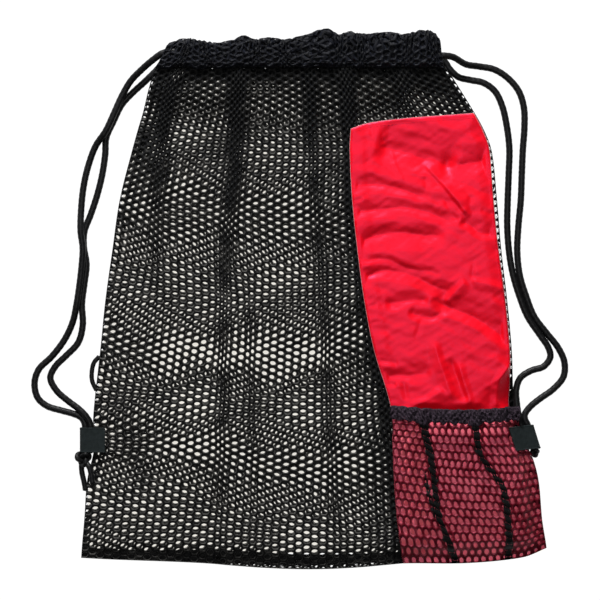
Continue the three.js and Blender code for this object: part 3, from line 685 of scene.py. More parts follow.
def front_level(x, y, flange=FLANGE, shoulder=SHOULDER):
    """Outer face of the front wall."""
    crown = ramp(flange, flange + shoulder, inside_of(x, y))
    mouth = ramp(MOUTH_FROM, MOUTH_Y, y)
    folds = fold_rise(x, y, GATHERS, FOLD_RISE, FOLD_HALF)
    return lerp(EDGE_Z + LOFT * crown, MOUTH_Z, mouth) + folds * np.maximum(crown, mouth)


def pocket_level(x, y, rise=POCKET_FOLD_RISE):
    """Outer face of the pocket, with folds of this rise for each extra layer."""
    panel = side_at("panel", y)
    belly = ramp(POCKET_FLANGE, POCKET_FLANGE + POCKET_SHOULDER, np.minimum(inside_of(x, y), x - panel))
    folds = fold_rise(x, y, POCKET_GATHERS, rise, POCKET_FOLD_HALF)
    return front_level(x, y) + POCKET_EDGE_Z - EDGE_Z + (POCKET_LOFT + folds) * belly


def gathered(gathers, cloth, levels, sides, key="y"):
    """Where each place across the cloth lies at each level, when the gathers take up more cloth, and how
    narrow the cloth is drawn there."""
    places = np.linspace(0, 1, GATHER_PLACES)
    rows = []
    for y in levels:
        left, right = sides(y)
        x = lerp(left, right, places)
        density = np.ones_like(x)
        for gather in gathers:
            line = through(gather, key, "x", y)
            extra = np.maximum(straight(gather, key, "extra", y), 0)
            density += extra * np.exp(-(((x - line) / straight(gather, key, "half", y)) ** 2))
        run = np.concatenate([[0], np.cumsum((density[1:] + density[:-1]) / 2)])
        rows.append(np.interp(places * run[-1], run, x))
    grid = np.array(rows)
    tight = np.gradient(grid, axis=1) * (len(places) - 1) / cloth
    return grid, tight


# Finishes

RIM_LIGHT_SHARE = 0.6  # how far the painted light of the rims reaches into a strand
SHADES = (0.3, 0.7)  # where the dark and the light shade of a finish lie in its pattern
SHEEN_ROUGHNESS = 0.4
NYLON_GLOSS = (1, 0.38, 0.95)  # tint of the red cloth's gloss
BAND_PERIOD = math.pi / 10  # distance between the bands of a texture with a scale of 1


def set_inputs(node, values):
    """Give a shader node's inputs their values."""
    for name, value in values.items():
        node.inputs[name].default_value = value


class Finish:
    """Procedural cloth finish: a base colour that varies, a bump and a sheen."""

    def __init__(self, name, roughness, specular, sheen=0.0, sheen_tint=(1, 1, 1)):
        self.material = bpy.data.materials.new(name)
        self.material.use_nodes = True
        self.nodes = self.material.node_tree.nodes
        self.links = self.material.node_tree.links
        self.shader = self.nodes["Principled BSDF"]
        set_inputs(self.shader, {
            "Roughness": roughness, "Specular IOR Level": specular, "Sheen Weight": sheen,
            "Sheen Roughness": SHEEN_ROUGHNESS, "Sheen Tint": (*sheen_tint, 1),
        })
        self.place = self.nodes.new("ShaderNodeTexCoord").outputs["Object"]

    def texture(self, kind, mapped):
        """Texture node whose places are mapped by these inputs."""
        mapping = self.nodes.new("ShaderNodeMapping")
        set_inputs(mapping, mapped)
        self.links.new(self.place, mapping.inputs["Vector"])
        texture = self.nodes.new(kind)
        self.links.new(mapping.outputs["Vector"], texture.inputs["Vector"])
        return texture

    def noise(self, scale, detail, stretch=(1, 1, 1)):
        """Cloudy pattern with about this many spots to a metre."""
        texture = self.texture("ShaderNodeTexNoise", {"Scale": stretch})
        set_inputs(texture, {"Scale": scale, "Detail": detail})
        return texture.outputs["Fac"]

    def bands(self, spacing, direction, turn=0.0, wobble=0.0):
        """Bands this many millimetres apart across an axis."""
        texture = self.texture("ShaderNodeTexWave", {"Rotation": (0, 0, turn)})
        texture.wave_type = "BANDS"
        texture.bands_direction = direction
        set_inputs(texture, {"Scale": BAND_PERIOD / (spacing * MM), "Distortion": wobble})
        return texture.outputs["Fac"]

    def mix(self, kind, a, b):
        """Sum or product of two patterns, or of a pattern and a number."""
        node = self.nodes.new("ShaderNodeMath")
        node.operation = kind
        for socket, value in zip(node.inputs, (a, b)):
            if isinstance(value, float):
                socket.default_value = value
            else:
                self.links.new(value, socket)
        return node.outputs["Value"]

    def colour(self, factor, dark, light, rim=None):
        """Base colour between two shades, and a third, painted light, along the rims of a net's holes."""
        ramp_node = self.nodes.new("ShaderNodeValToRGB")
        low, high = ramp_node.color_ramp.elements
        low.position, high.position = SHADES
        low.color = (*dark, 1)
        high.color = (*light, 1)
        if rim:
            top = ramp_node.color_ramp.elements.new(1)
            top.color = (*rim, 1)
            mark = self.nodes.new("ShaderNodeAttribute")
            mark.attribute_name = "rim"
            factor = self.mix("ADD", factor, self.mix("MULTIPLY", mark.outputs["Fac"], RIM_LIGHT_SHARE))
        self.links.new(factor, ramp_node.inputs["Fac"])
        self.links.new(ramp_node.outputs["Color"], self.shader.inputs["Base Color"])

    def bump(self, height, depth):
        """Relief of this many millimetres."""
        node = self.nodes.new("ShaderNodeBump")
        set_inputs(node, {"Distance": depth * MM, "Strength": 1})
        self.links.new(height, node.inputs["Height"])
        self.links.new(node.outputs["Normal"], self.shader.inputs["Normal"])


def net_finish(name, sheen, dark, light, rim):
    """Knitted yarn of a net, with painted light on its strands along the holes."""
    finish = Finish(name, roughness=0.5, specular=0.1, sheen=sheen, sheen_tint=(0.55, 0.65, 1))
    finish.colour(finish.noise(90, 4), dark, light, rim)
    knit = finish.mix("ADD", finish.noise(1500, 2), finish.bands(0.9, "DIAGONAL", 0.3, 2.0))
    finish.bump(knit, 0.16)
    return finish.material


def nylon_finish(name, dark, light):
    """Woven nylon."""
    finish = Finish(name, roughness=0.45, specular=0.45)
    set_inputs(finish.shader, {"Specular Tint": (*NYLON_GLOSS, 1)})
    finish.colour(finish.noise(45, 4, (1, 2.2, 1)), dark, light)
    weave = finish.mix("ADD", finish.bands(1.1, "X"), finish.bands(1.1, "Y"))
    finish.bump(finish.mix("ADD", weave, finish.noise(900, 2)), 0.035)
    return finish.material


def elastic_finish():
    """Ribbed elastic."""
    finish = Finish("black_elastic", roughness=0.7, specular=0.1, sheen=0.03, sheen_tint=(0.7, 0.75, 1))
    finish.colour(finish.noise(520, 4, (1.6, 0.7, 1)), (0.001, 0.001, 0.0016), (0.056, 0.037, 0.054))
    finish.bump(finish.mix("ADD", finish.bands(1.3, "Y", 0, 1.5), finish.noise(900, 2)), 0.3)
    return finish.material


def webbing_finish():
    """Ribbed webbing."""
    finish = Finish("black_webbing", roughness=0.75, specular=0.1, sheen=0.02, sheen_tint=(0.8, 1, 1))
    finish.colour(finish.noise(300, 3), (0.011, 0.015, 0.0155), (0.018, 0.024, 0.025))
    ribs = finish.mix("ADD", finish.bands(1.5, "X"), finish.bands(0.8, "Y"))
    finish.bump(finish.mix("ADD", ribs, finish.noise(1200, 2)), 0.1)
    return finish.material


def cord_finish():
    """Yarn of a braided cord."""
    finish = Finish("black_cord", roughness=0.45, specular=0.16, sheen=0.01, sheen_tint=(0.85, 0.9, 1))
    finish.colour(finish.noise(260, 3), (0.003, 0.003, 0.0034), (0.007, 0.007, 0.0075))
    finish.bump(finish.noise(1800, 2), 0.08)
    return finish.material


def thread_finish(name, dark, light):
    """Twisted sewing thread."""
    finish = Finish(name, roughness=0.6, specular=0.12, sheen=0.01)
    finish.colour(finish.noise(700, 2), dark, light)
    finish.bump(finish.bands(0.4, "DIAGONAL"), 0.05)
    return finish.material


# The last colour of each net is painted light along the rims of its holes
BLACK_NET = net_finish(
    "black_net", 0.01, (0.002, 0.002, 0.002), (0.006, 0.006, 0.006), (0.06, 0.058, 0.054),
)
# Back net: the same black net painted lighter, its hole rims too, as painted light from the bright floor it
# lies on
BACK_NET_PAINTED_LIGHT = net_finish(
    "back_net", 0.01, (0.006, 0.006, 0.006), (0.018, 0.018, 0.018), (0.15, 0.145, 0.135),
)
CASING_NET = net_finish(
    "casing_net", 0.018, (0.0006, 0.0006, 0.0008), (0.005, 0.0054, 0.0078), (0.009, 0.0095, 0.013),
)
# Pocket net: the black net painted dark red, rims pinker, as painted red light from the red panel under it
POCKET_NET_PAINTED_RED_LIGHT = net_finish("pocket_net", 0, (0.06, 0.002, 0.006), (0.13, 0.004, 0.013), (0.34, 0.06, 0.09))
RED_NYLON = nylon_finish("red_nylon", (0.79, 0.0002, 0.004), (0.85, 0.0004, 0.007))
# Red panel inside the pocket: the red nylon painted lighter and pinker, as painted light through the
# pocket's net
POCKET_RED_PAINTED_LIGHT = nylon_finish("pocket_red_painted_light", (0.93, 0.12, 0.16), (0.98, 0.19, 0.23))
BLACK_ELASTIC = elastic_finish()
BLACK_WEBBING = webbing_finish()
BLACK_CORD = cord_finish()
BLACK_THREAD = thread_finish("black_thread", (0.004, 0.004, 0.005), (0.009, 0.009, 0.011))
RED_THREAD = thread_finish("red_thread", (0.7, 0.003, 0.016), (0.78, 0.006, 0.03))
# Rolled edge of the red panel, painted pale pink as a highlight of the hem catching light
EDGE_THREAD_HIGHLIGHT = thread_finish("edge_thread_highlight", (0.42, 0.1, 0.12), (0.55, 0.24, 0.26))


def finished(obj, slot, *nodes):
    """Hide the solids that a piece stands for, and give the piece back; the slot is not used."""
    if nodes:
        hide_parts(*nodes)
    return obj


def face_middles(obj):
    """Middle of each face of a piece."""
    middles = np.empty(3 * len(obj.data.polygons), np.float32)
    obj.data.polygons.foreach_get("center", middles)
    return middles.reshape(-1, 3) / MM


def second_finish(obj, finish, chosen):
    """Give some of a piece's faces another finish."""
    obj.data.materials.append(finish)
    obj.data.polygons.foreach_set("material_index", chosen.astype(np.int32))


def net_size(lattice):
    """Width and length of a net's cloth, whose last column is cut off at three quarters."""
    wide = (lattice["columns"] - 1 + 0.75) * lattice["pitch"]
    return wide, lattice["rows"] * lattice["period"]


# Camera and light


def camera():
    """Camera that looks straight down."""
    data = bpy.data.cameras.new("camera")
    data.sensor_width = SENSOR
    data.lens = data.sensor_width * (VIEW_HIGH - VIEW_LEVEL) / VIEW_WIDE
    data.clip_end = VIEW_END * MM
    obj = bpy.data.objects.new("camera", data)
    obj.location = (VIEW_X * MM, 0, VIEW_HIGH * MM)
    bpy.context.scene.collection.objects.link(obj)
    bpy.context.scene.camera = obj


def area_light(name, place, size, power):
    """Round light turned to the middle of the floor."""
    data = bpy.data.lights.new(name, "AREA")
    data.shape = "DISK"
    data.size = size
    data.energy = power
    obj = bpy.data.objects.new(name, data)
    obj.location = place
    obj.rotation_euler = (-Vector(place)).to_track_quat("-Z", "Y").to_euler()
    bpy.context.scene.collection.objects.link(obj)


def studio():
    """Faint white world, the lights and the floor."""
    scene = bpy.context.scene
    scene.view_settings.view_transform = "Standard"
    world = bpy.data.worlds.new("studio")
    world.use_nodes = True
    set_inputs(world.node_tree.nodes["Background"], {"Color": (1, 1, 1, 1), "Strength": WORLD_LIGHT})
    scene.world = world
    for name, facts in LIGHTS.items():
        area_light(name, **facts)
    floor = bpy.data.objects.new("floor", floor_mesh())
    scene.collection.objects.link(floor)


def floor_mesh():
    """White floor, cream where the bag lies on it and glowing less there as painted shade."""
    levels = np.linspace(UNDER_FROM, MOUTH_Y, UNDER_LEVELS)
    left, right = edges_at(levels)
    rim = [*zip(left + UNDER_INSET, levels), *zip(right[::-1] - UNDER_INSET, levels[::-1])]
    count = len(rim)
    turns = np.linspace(FLOOR_TURN, FLOOR_TURN - 2 * math.pi, count, endpoint=False)
    far = [(FLOOR_HALF * math.cos(turn), FLOOR_HALF * math.sin(turn)) for turn in turns]
    points = [(x * MM, y * MM, 0) for x, y in rim + far]
    ring = [(k, (k + 1) % count, count + (k + 1) % count, count + k) for k in range(count)]
    mesh = bpy.data.meshes.new("floor")
    mesh.from_pydata(points, [], [tuple(range(count))[::-1]] + ring)
    for facts in FLOORS:
        finish = bpy.data.materials.new(facts["name"])
        finish.use_nodes = True
        set_inputs(finish.node_tree.nodes["Principled BSDF"], {
            "Base Color": (*facts["albedo"], 1), "Roughness": 1, "Specular IOR Level": 0,
            "Emission Color": (*facts["glow"], 1), "Emission Strength": facts["strength"],
        })
        mesh.materials.append(finish)
    mesh.polygons.foreach_set("material_index", [0] + [1] * count)
    return mesh


camera()
studio()

# Cords and knots

BRAID_ROUND = 6  # strands seen round the cord in each direction
BRAID_LONG = 5.2  # length of one strand's half turn
BRAID_DEEP = 0.05  # depth between the strands, as a share of the radius
ROUTE_POINTS = 400
FLOOR_GAP = 0.05
CORD_STEP = 1.15
CORD_SIDES = 24
LOOP_STEP = 0.8
TAIL_STEP = 1.1
TAIL_SIDES = 20
KNOT_STEPS = 121
KNOT_SIDES = 16
KNOT_CROSSING = 0.98  # rise and dip of the knot's cord where it crosses itself, as a share of its radius


def braid(turn, along):
    """Diamonds of a round braid, as a share of the radius."""
    run = np.pi * along / BRAID_LONG
    return 1 - BRAID_DEEP + BRAID_DEEP * np.cos(BRAID_ROUND * turn + run) * np.cos(BRAID_ROUND * turn - run)


def cord_parts(route, diameter, step, sides=CORD_SIDES):
    """Middle line of a cord, kept above the floor, and its braided tube."""
    path = catmull(route, ROUTE_POINTS)
    path = catmull(route, int(length_of(path) / step))
    path[:, 2] = np.maximum(path[:, 2], diameter / 2 + FLOOR_GAP)
    return path, tube(path, diameter / 2, sides, braid)


def knot(centre, size, radius):
    """Overhand knot drawn tight, lying flat."""
    t = np.linspace(0, 2 * np.pi, KNOT_STEPS)
    x = size * (np.sin(t) + 2 * np.sin(2 * t)) / 3
    y = size * (np.cos(t) - 2 * np.cos(2 * t)) / 3
    z = -radius * KNOT_CROSSING * np.sin(3 * t)
    return tube(np.stack([x, y, z], 1) + np.array(centre), radius, KNOT_SIDES, braid)


tails = [cord_parts(route, TAIL, TAIL_STEP, TAIL_SIDES)[1] for route in TAILS]
left_knot = add_mesh("knot_with_tails", *join([knot(**KNOT_LEFT)] + tails), BLACK_CORD)
right_knot = add_mesh("small_knot", *knot(**KNOT_RIGHT), BLACK_CORD)
finished(left_knot, "cord", "knot_left")
finished(right_knot, "cord", "knot_right")

knots = [left_knot, right_knot]
for name, node, route, diameter, step, far_end, stiffness, ends in [
    ("drawcord_front", "cord_front", CORD_FRONT_ROUTE, CORD, CORD_STEP, "knot", "limp", knots),
    ("drawcord_back", "cord_back", CORD_BACK_ROUTE, CORD, CORD_STEP, "knot", "limp", []),
    ("loop_cord", "side_loop", LOOP_ROUTE, LOOP_CORD, LOOP_STEP, "object", "medium", []),
]:
    path, parts = cord_parts(route, diameter, step)
    obj = finished(add_mesh(name, *parts, BLACK_CORD), "cord", node)
    length_of(path) * MM

# Net walls

BOW = 17  # how far the rows of the net rise towards the sides where the bag narrows
BOW_COMES = (0, 0.75)  # shares of the height between which that comes, and goes
BOW_GOES = (0.8, 1)
DRIFT = 1.6  # how uneven the rows are
DRIFT_COMES = (0, 0.04)
DRIFT_GOES = (0.9, 1)
STIR = 0.8  # how uneven the back wall's columns are over long stretches, and over short ones
FLUTTER = 0.9
SWAY = 0.5  # how uneven the back wall's rows are
BACK_SEWN = 0.015  # share of the height at each end where the back wall's rows come to the front's
WALL_LEVELS = 90  # levels at which the gathers are worked out, and how far they go past the cloth
LEVEL_SPARE = 3
MOUTH_LAP = 1  # how far the walls go past the mouth's stitch line
LEAST_OPEN = (0.45, 0.2)  # least share of a hole's width that a gather leaves, low and high up
LEAST_OPEN_LEVELS = (40, 190)
# Share that all holes are narrowed to towards the mouth, and the levels between which that comes
NARROWED = [(0.88, 60, 200), (0.6, 204, 221)]
CLOTH_OVER = 0.008  # share of the width by which the net goes past the sides
BACK_CLOSED = (-0.004, 0.006)  # shares of the width, from a side, between which the back wall's holes open
BACK_STRIP = 0.02  # share of the width that the back wall leaves free beside the red panel
BACK_STRIP_LOW = (-84, -60)
BACK_STRIP_TOP = (170, 150)
MEETS_LEFT = (0.06, 0.16)  # shares of the width between which the rows of both walls come to meet
MEETS_RIGHT = (0.6, 0.5)
PANEL_SINK = 5  # how far the net sinks under the red panel
PANEL_SINK_SIDE = (4, 14)  # distances from the panel's sides between which it sinks, and from its top
PANEL_SINK_TOP = 12

drift = waves(3, 6, 1.1, 0.9)
stir = waves(4, 6, 0.7, 0.7)
flutter = waves(5, 8, 0.22, 0.16)
sway = waves(6, 8, 0.22, 0.16)


def wall_surface(lattice, gathers, folds, level, askew=False):
    """Surface of a wall of net by its cloth, the share of a hole's width left by the gathers, and which
    places of the cloth are inside the sides."""
    wide, long = net_size(LATTICES["wall"])
    spare = (lattice["columns"] - LATTICES["wall"]["columns"]) / 2 * lattice["pitch"]
    levels = np.linspace(BOTTOM["y"].min() - LEVEL_SPARE, MOUTH_Y + LEVEL_SPARE, WALL_LEVELS)
    grid, tight = gathered(gathers, wide, levels, edges_at)

    def rise_to(y):
        return (y - levels[0]) / (levels[-1] - levels[0])

    def at(u, v):
        up = np.clip(v / long, 0, 1)
        free = ramp(*DRIFT_COMES, up) * (1 - ramp(*DRIFT_GOES, up))
        plain = (u - spare) / wide
        across = plain
        fall = 0
        if askew:
            middle = lerp(BOTTOM["y"][0], MOUTH_Y, up)
            slid = through(BACK_SLIDE, "y", "columns", middle)
            aside = slid * lattice["pitch"] + STIR * stir(plain, up) + FLUTTER * flutter(plain, up)
            across = plain + aside / wide
            across = across + BACK_STRETCH * (across - BACK_MIDDLE)
            fall = back_drop(across, middle, slid) + SWAY * sway(plain, up)
            fall = fall * ramp(0, BACK_SEWN, up) * (1 - ramp(1 - BACK_SEWN, 1, up))
        inner = np.clip(across, 0, 1)
        arch = BOW * (2 * inner - 1) ** 2 * ramp(*BOW_COMES, up) * (1 - ramp(*BOW_GOES, up))
        y = lerp(bottom_at(inner), MOUTH_Y + MOUTH_LAP, up) + arch
        return across, y + DRIFT * drift(inner, up) * free - fall

    def surface(u, v):
        across, y = at(u, v)
        x = sample(grid, across, rise_to(y))
        return np.stack([x, y, level(x, y)], 1)

    def opening(u, v):
        across, y = at(u, v)
        least = lerp(*LEAST_OPEN, ramp(*LEAST_OPEN_LEVELS, y))
        share = lerp(least, 1, np.clip(sample(tight, across, rise_to(y)), 0, 1))
        for narrow, low, high in NARROWED:
            share = share * lerp(1, narrow, ramp(low, high, y))
        x = sample(grid, across, rise_to(y))
        for fold in folds:
            near = hill(x - through(fold, "y", "x", y), straight(fold, "y", "half", y))
            share = share * (1 - near * straight(fold, "y", "close", y))
        if askew:
            share = share * ramp(*BACK_CLOSED, np.minimum(across, 1 - across))
        return share

    def inside(u, v):
        across, y = at(u, v)
        strip = BACK_STRIP * ramp(*BACK_STRIP_LOW, y) * ramp(*BACK_STRIP_TOP, y) if askew else 0
        return (across > -CLOTH_OVER) & (across < 1 + CLOTH_OVER - strip)

    return surface, opening, inside


def back_drop(across, y, slid):
    """How far the back wall's rows lie below the front's."""
    plain = ramp(*MEETS_LEFT, across) * ramp(*MEETS_RIGHT, across)
    meets = sum(share * hill(y - level, BACK_MEET_HALF) for level, share in BACK_MEETS)
    return (BACK_DROP + BACK_SWING * np.cos(np.pi * slid)) * (1 - plain * meets) - BACK_STRETCH * y


def front_middle(x, y):
    """Middle of the front wall's net, which sinks under the red panel, but not below its sewn edge."""
    in_panel = np.minimum(x - side_at("panel", y), side_at("right", y) - x)
    top = PANEL_TOP["y"][0]
    covered = ramp(*PANEL_SINK_SIDE, in_panel) * ramp(top, top - PANEL_SINK_TOP, y)
    plain = front_level(x, y) - NET / 2
    return np.maximum(plain - PANEL_SINK * covered, EDGE_Z - NET / 2)


def back_middle(x, y):
    """Middle of the back wall's net, flat on the floor."""
    return NET / 2 + 0 * x


front = net(LATTICES["wall"], *wall_surface(LATTICES["wall"], GATHERS, FRONT_FOLDS, front_middle))
front_net = finished(net_mesh("net_front", front, BLACK_NET), "net", "front_mesh")

back_cloth = dict(LATTICES["wall"], columns=LATTICES["wall"]["columns"] + 2 * BACK_SPARE)
back = net(back_cloth, *wall_surface(back_cloth, GATHERS, BACK_FOLDS, back_middle, askew=True))
back_net = finished(net_mesh("net_back", back, BACK_NET_PAINTED_LIGHT), "net", "back_mesh")

# Casings

CASING_SQUARE = 0.62  # how square the section of a casing is, 1 being an ellipse
CASING_HALF = (15, 4.7)  # half height and half thickness by which the way round a casing is measured
CASING_STEPS = 241
CASING_LEVELS = 12
CASING_LIFT = 0.4  # gap between the stitch line and a casing's lower edge
CASING_TRIM = 0.6  # how far a casing's net stays below its top line
CASING_CLEAR = 0.6  # how far it stays above the level that the casing lies on
CASING_OPEN = (0.25, 0.7)  # least and largest share of a hole's width
# How far each end leans aside at the bottom and at the top, and the places between which that comes
END_LEANS = [(-8, 5, -100, CASING_LEFT), (3, -2, 90, CASING_RIGHT)]
PLEAT = 13.0  # cloth in one pleat
PLEAT_DEEP = 1.5
PLEAT_SWING = 10  # how far the pleats swing aside towards the top
PLEAT_SWING_LONG = 37
PLEAT_ROOM = 1.2  # room left for the pleats in the casing's thickness
PLEAT_UP = 0.25  # share of a pleat that shows in the casing's height, and in its thickness
PLEAT_OUT = 0.9
LUMP = 0.5  # how lumpy a casing is, and how uneven its lower edge
LUMP_LOW = 1.5
CURL = 2.2  # how far the net is pushed about along a casing, and round it as a share
CURL_ROUND = 0.025
SLEEVE_COLUMNS = 360
SLEEVE_ROUND = 30
SLEEVE_SINK = 0.7  # how far the sleeve of cloth lies inside the net


def casing_surface(lattice, low, drop, puffs, seed):
    """Surface of a casing by its cloth, once round the tunnel, and the share of a hole's width left."""
    wide, long = net_size(lattice)
    levels = np.linspace(0, 1, CASING_LEVELS)
    grid, tight = gathered(CASING_GATHERS, wide, levels, lambda up: (CASING_LEFT, CASING_RIGHT), "up")
    turn = np.linspace(math.pi, -math.pi, CASING_STEPS)
    ring_y = np.sign(np.cos(turn)) * np.abs(np.cos(turn)) ** CASING_SQUARE
    ring_z = np.sign(np.sin(turn)) * np.abs(np.sin(turn)) ** CASING_SQUARE
    half_tall, half_thick = CASING_HALF
    run = np.cumsum(np.hypot(np.gradient(ring_y) * half_tall, np.gradient(ring_z) * half_thick))
    run = (run - run[0]) / (run[-1] - run[0])
    lump = waves(seed, 8, 34, 30)
    curl = waves(seed + 10, 10, 15, 13)

    def surface(u, v, sink=0.0):
        round_by = np.clip(v / long, 0, 1)
        up = 1 - np.abs(2 * round_by - 1)
        loose = hill(2 * u / wide - 1, 1)
        x = sample(grid, (u + CURL * curl(u, v) * loose) / wide, up)
        for lean_low, lean_high, start, end in END_LEANS:
            x = x + lerp(lean_low, lean_high, up) * ramp(start, end, x)
        round_by = np.clip(round_by + CURL_ROUND * curl(v, u) * np.sin(np.pi * round_by), 0, 1)
        low_y = MOUTH_Y + CASING_LIFT + LUMP_LOW * lump(u, 0)
        high_y = through(RUFFLES, "x", "top", x) - drop - CASING_TRIM
        high_z = CASING_TALL + puffs * np.maximum(through(RUFFLES, "x", "puff", x), 0)
        pleats = 2 * np.pi * (u + PLEAT_SWING * np.sin(u / PLEAT_SWING_LONG) * up) / PLEAT
        swell = PLEAT_DEEP * np.sin(pleats) + LUMP * lump(u, v)
        half_y = (high_y - low_y) / 2 - sink
        half_z = high_z / 2 - PLEAT_ROOM - sink
        shape_y = np.interp(round_by, run, ring_y)
        shape_z = np.interp(round_by, run, ring_z)
        y = (low_y + high_y) / 2 + shape_y * (half_y + PLEAT_UP * swell)
        z = low + high_z / 2 + shape_z * (half_z + swell * ramp(-1, 1, shape_y) * PLEAT_OUT)
        return np.stack([x, y, np.maximum(z, low + CASING_CLEAR)], 1)

    def opening(u, v):
        up = 1 - np.abs(2 * v / long - 1)
        return np.clip(sample(tight, u / wide, up), *CASING_OPEN)

    return surface, opening


def sleeve(lattice, surface):
    """Closed tube of cloth just inside a casing's net."""
    wide, long = net_size(lattice)
    u = np.linspace(0, wide, SLEEVE_COLUMNS)
    v = np.linspace(0, long, SLEEVE_ROUND, endpoint=False)
    u_all, v_all = (a.ravel() for a in np.meshgrid(u, v, indexing="ij"))
    rings = surface(u_all, v_all, SLEEVE_SINK).reshape(SLEEVE_COLUMNS, SLEEVE_ROUND, 3)
    return closed_tube(rings, rings[[0, -1]].mean(axis=1), turned=True)


for node, low, drop, puffs, seed in [
    ("casing_front", FRONT_CASING_Z, 0, 1, 21), ("casing_back", 0, BACK_CASING_DROP, 0, 22),
]:
    surface, opening = casing_surface(LATTICES["casing"], low, drop, puffs, seed)
    parts = net(LATTICES["casing"], surface, opening)
    casing = net_mesh(node + "_net", parts, CASING_NET, sleeve(LATTICES["casing"], surface))
    finished(casing, "net", node)

# Red panel

PANEL_COLUMNS = 112
PANEL_ROWS = 300
PANEL_CLOTH = 0.8
PANEL_START = 0.7  # share across the bag's bottom edge where the panel and its pocket start
PANEL_SHOULDER = 4  # the taut panel is flatter than the net under it
PANEL_SWELL = 1.6  # how far the cloth stands up inside its edge, and over what width
PANEL_SWELL_WIDE = 14
PANEL_DIP = (-0.6, -9)  # deepest dip near the edge and inside it, and the distances that this lies between
PANEL_DIP_WIDE = (4, 14)
PANEL_ROUND = 0.5  # how far the cloth rounds down at its very edge, and over what width
PANEL_ROUND_WIDE = 1.2
PANEL_CLEAR = 0.3
WRINKLE_EDGE = 2.5  # width of the edge along which the wrinkles fade
CRUMPLE = 0.22
RIPPLE = 0.09
TO_POCKET = (-60, -100)  # levels between which the panel flattens towards the pocket, to these widths
TO_POCKET_FLANGE = 2
TO_POCKET_SHOULDER = 2 * SHOULDER
UNDER_POCKET = (-97, -110)  # levels between which it goes behind the pocket's net
IN_POCKET_Y = -114  # below this level the panel is inside the pocket
IN_POCKET_GAP = 1.2  # gap under the pocket's net, and how much wider it gets away from the edge
IN_POCKET_WIDENS = 1.8
IN_POCKET_WIDENS_FROM = (2, 14)
IN_POCKET_TOP = (6.4, 12)  # highest place of the panel in the pocket, at its bottom and this far above it
IN_POCKET_TOP_TALL = 70
IN_POCKET_TOP_FROM = (14, 34)  # distances from the left edge between which that comes to hold


def wrinkle_height(x, y):
    """Height of the red panel's wrinkles, each a crease with two slopes along its line."""
    total = np.zeros(x.shape)
    for rise, left_wide, right_wide, points in WRINKLES:
        line = catmull(points, WRINKLE_STEPS)
        best = np.full(x.shape, np.inf)
        side = np.zeros(x.shape)
        along = np.zeros(x.shape)
        for k in range(len(line) - 1):
            a = line[k]
            d = line[k + 1] - a
            share = np.clip(((x - a[0]) * d[0] + (y - a[1]) * d[1]) / d.dot(d), 0, 1)
            off_x = x - a[0] - share * d[0]
            off_y = y - a[1] - share * d[1]
            apart = np.hypot(off_x, off_y)
            nearer = apart < best
            best = np.where(nearer, apart, best)
            side = np.where(nearer, d[0] * off_y - d[1] * off_x, side)
            along = np.where(nearer, (k + share) / (len(line) - 1), along)
        wide = np.where(side > 0, left_wide, right_wide)
        ends = ramp(0, WRINKLE_FADE, along) * ramp(0, WRINKLE_FADE, 1 - along)
        total += rise * np.clip(1 - best / wide, 0, 1) ** WRINKLE_POWER * ends
    return total


crumple = waves(31, 24, 42, 20)
ripple = waves(32, 30, 14, 9)


def unit_grid(columns, rows, ends=(0, 1)):
    """Places across a sheet and up it, to be spread into a grid."""
    return np.linspace(*ends, columns)[None, :], np.linspace(0, 1, rows)[:, None]


def panel_grid():
    """Creased face of the red panel, which runs down behind the pocket's net."""
    across, up = unit_grid(PANEL_COLUMNS, PANEL_ROWS)
    top = through(PANEL_TOP, "across", "y", across)
    floor = bottom_at(lerp(PANEL_START, 1, across))
    y = lerp(floor, top, up)
    left = side_at("panel", y)
    right = side_at("right", y) - through(PANEL_GAP, "y", "gap", y)
    x = lerp(left, right, across)
    from_edge = np.minimum(np.minimum(x - left, right - x), np.minimum(top - y, y - floor))
    soft = wrinkle_height(x, y) + CRUMPLE * crumple(x, y) + RIPPLE * ripple(x, y)
    swell = PANEL_SWELL * ramp(0, PANEL_SWELL_WIDE, from_edge) + soft * ramp(0, WRINKLE_EDGE, from_edge)
    swell = np.maximum(swell, lerp(*PANEL_DIP, ramp(*PANEL_DIP_WIDE, from_edge)))
    rounded = PANEL_ROUND * (1 - ramp(0, PANEL_ROUND_WIDE, from_edge))
    to_pocket = ramp(*TO_POCKET, y)
    shoulder = lerp(PANEL_SHOULDER, TO_POCKET_SHOULDER, to_pocket)
    base = front_level(x, y, TO_POCKET_FLANGE * to_pocket, shoulder)
    open_z = base + PANEL_LIFT + NYLON + PANEL_CLEAR + swell - rounded
    gap = IN_POCKET_WIDENS * ramp(*IN_POCKET_WIDENS_FROM, from_edge)
    close_z = pocket_level(x, y, 0) - NET - IN_POCKET_GAP - gap
    flat_z = np.minimum(close_z, lerp(*IN_POCKET_TOP, ramp(0, IN_POCKET_TOP_TALL, y - floor)))
    close_z = lerp(close_z, flat_z, ramp(*IN_POCKET_TOP_FROM, x - left))
    return np.stack([x, y, lerp(open_z, close_z, ramp(*UNDER_POCKET, y))], 2)


panel_points = panel_grid()
panel = finished(add_mesh("red_cloth", *wall(panel_points, PANEL_CLOTH), RED_NYLON), "nylon", "red_panel")
# Faces inside the pocket take the red that is painted lighter as painted light
second_finish(panel, POCKET_RED_PAINTED_LIGHT, face_middles(panel)[:, 1] < IN_POCKET_Y)

# Pocket of net

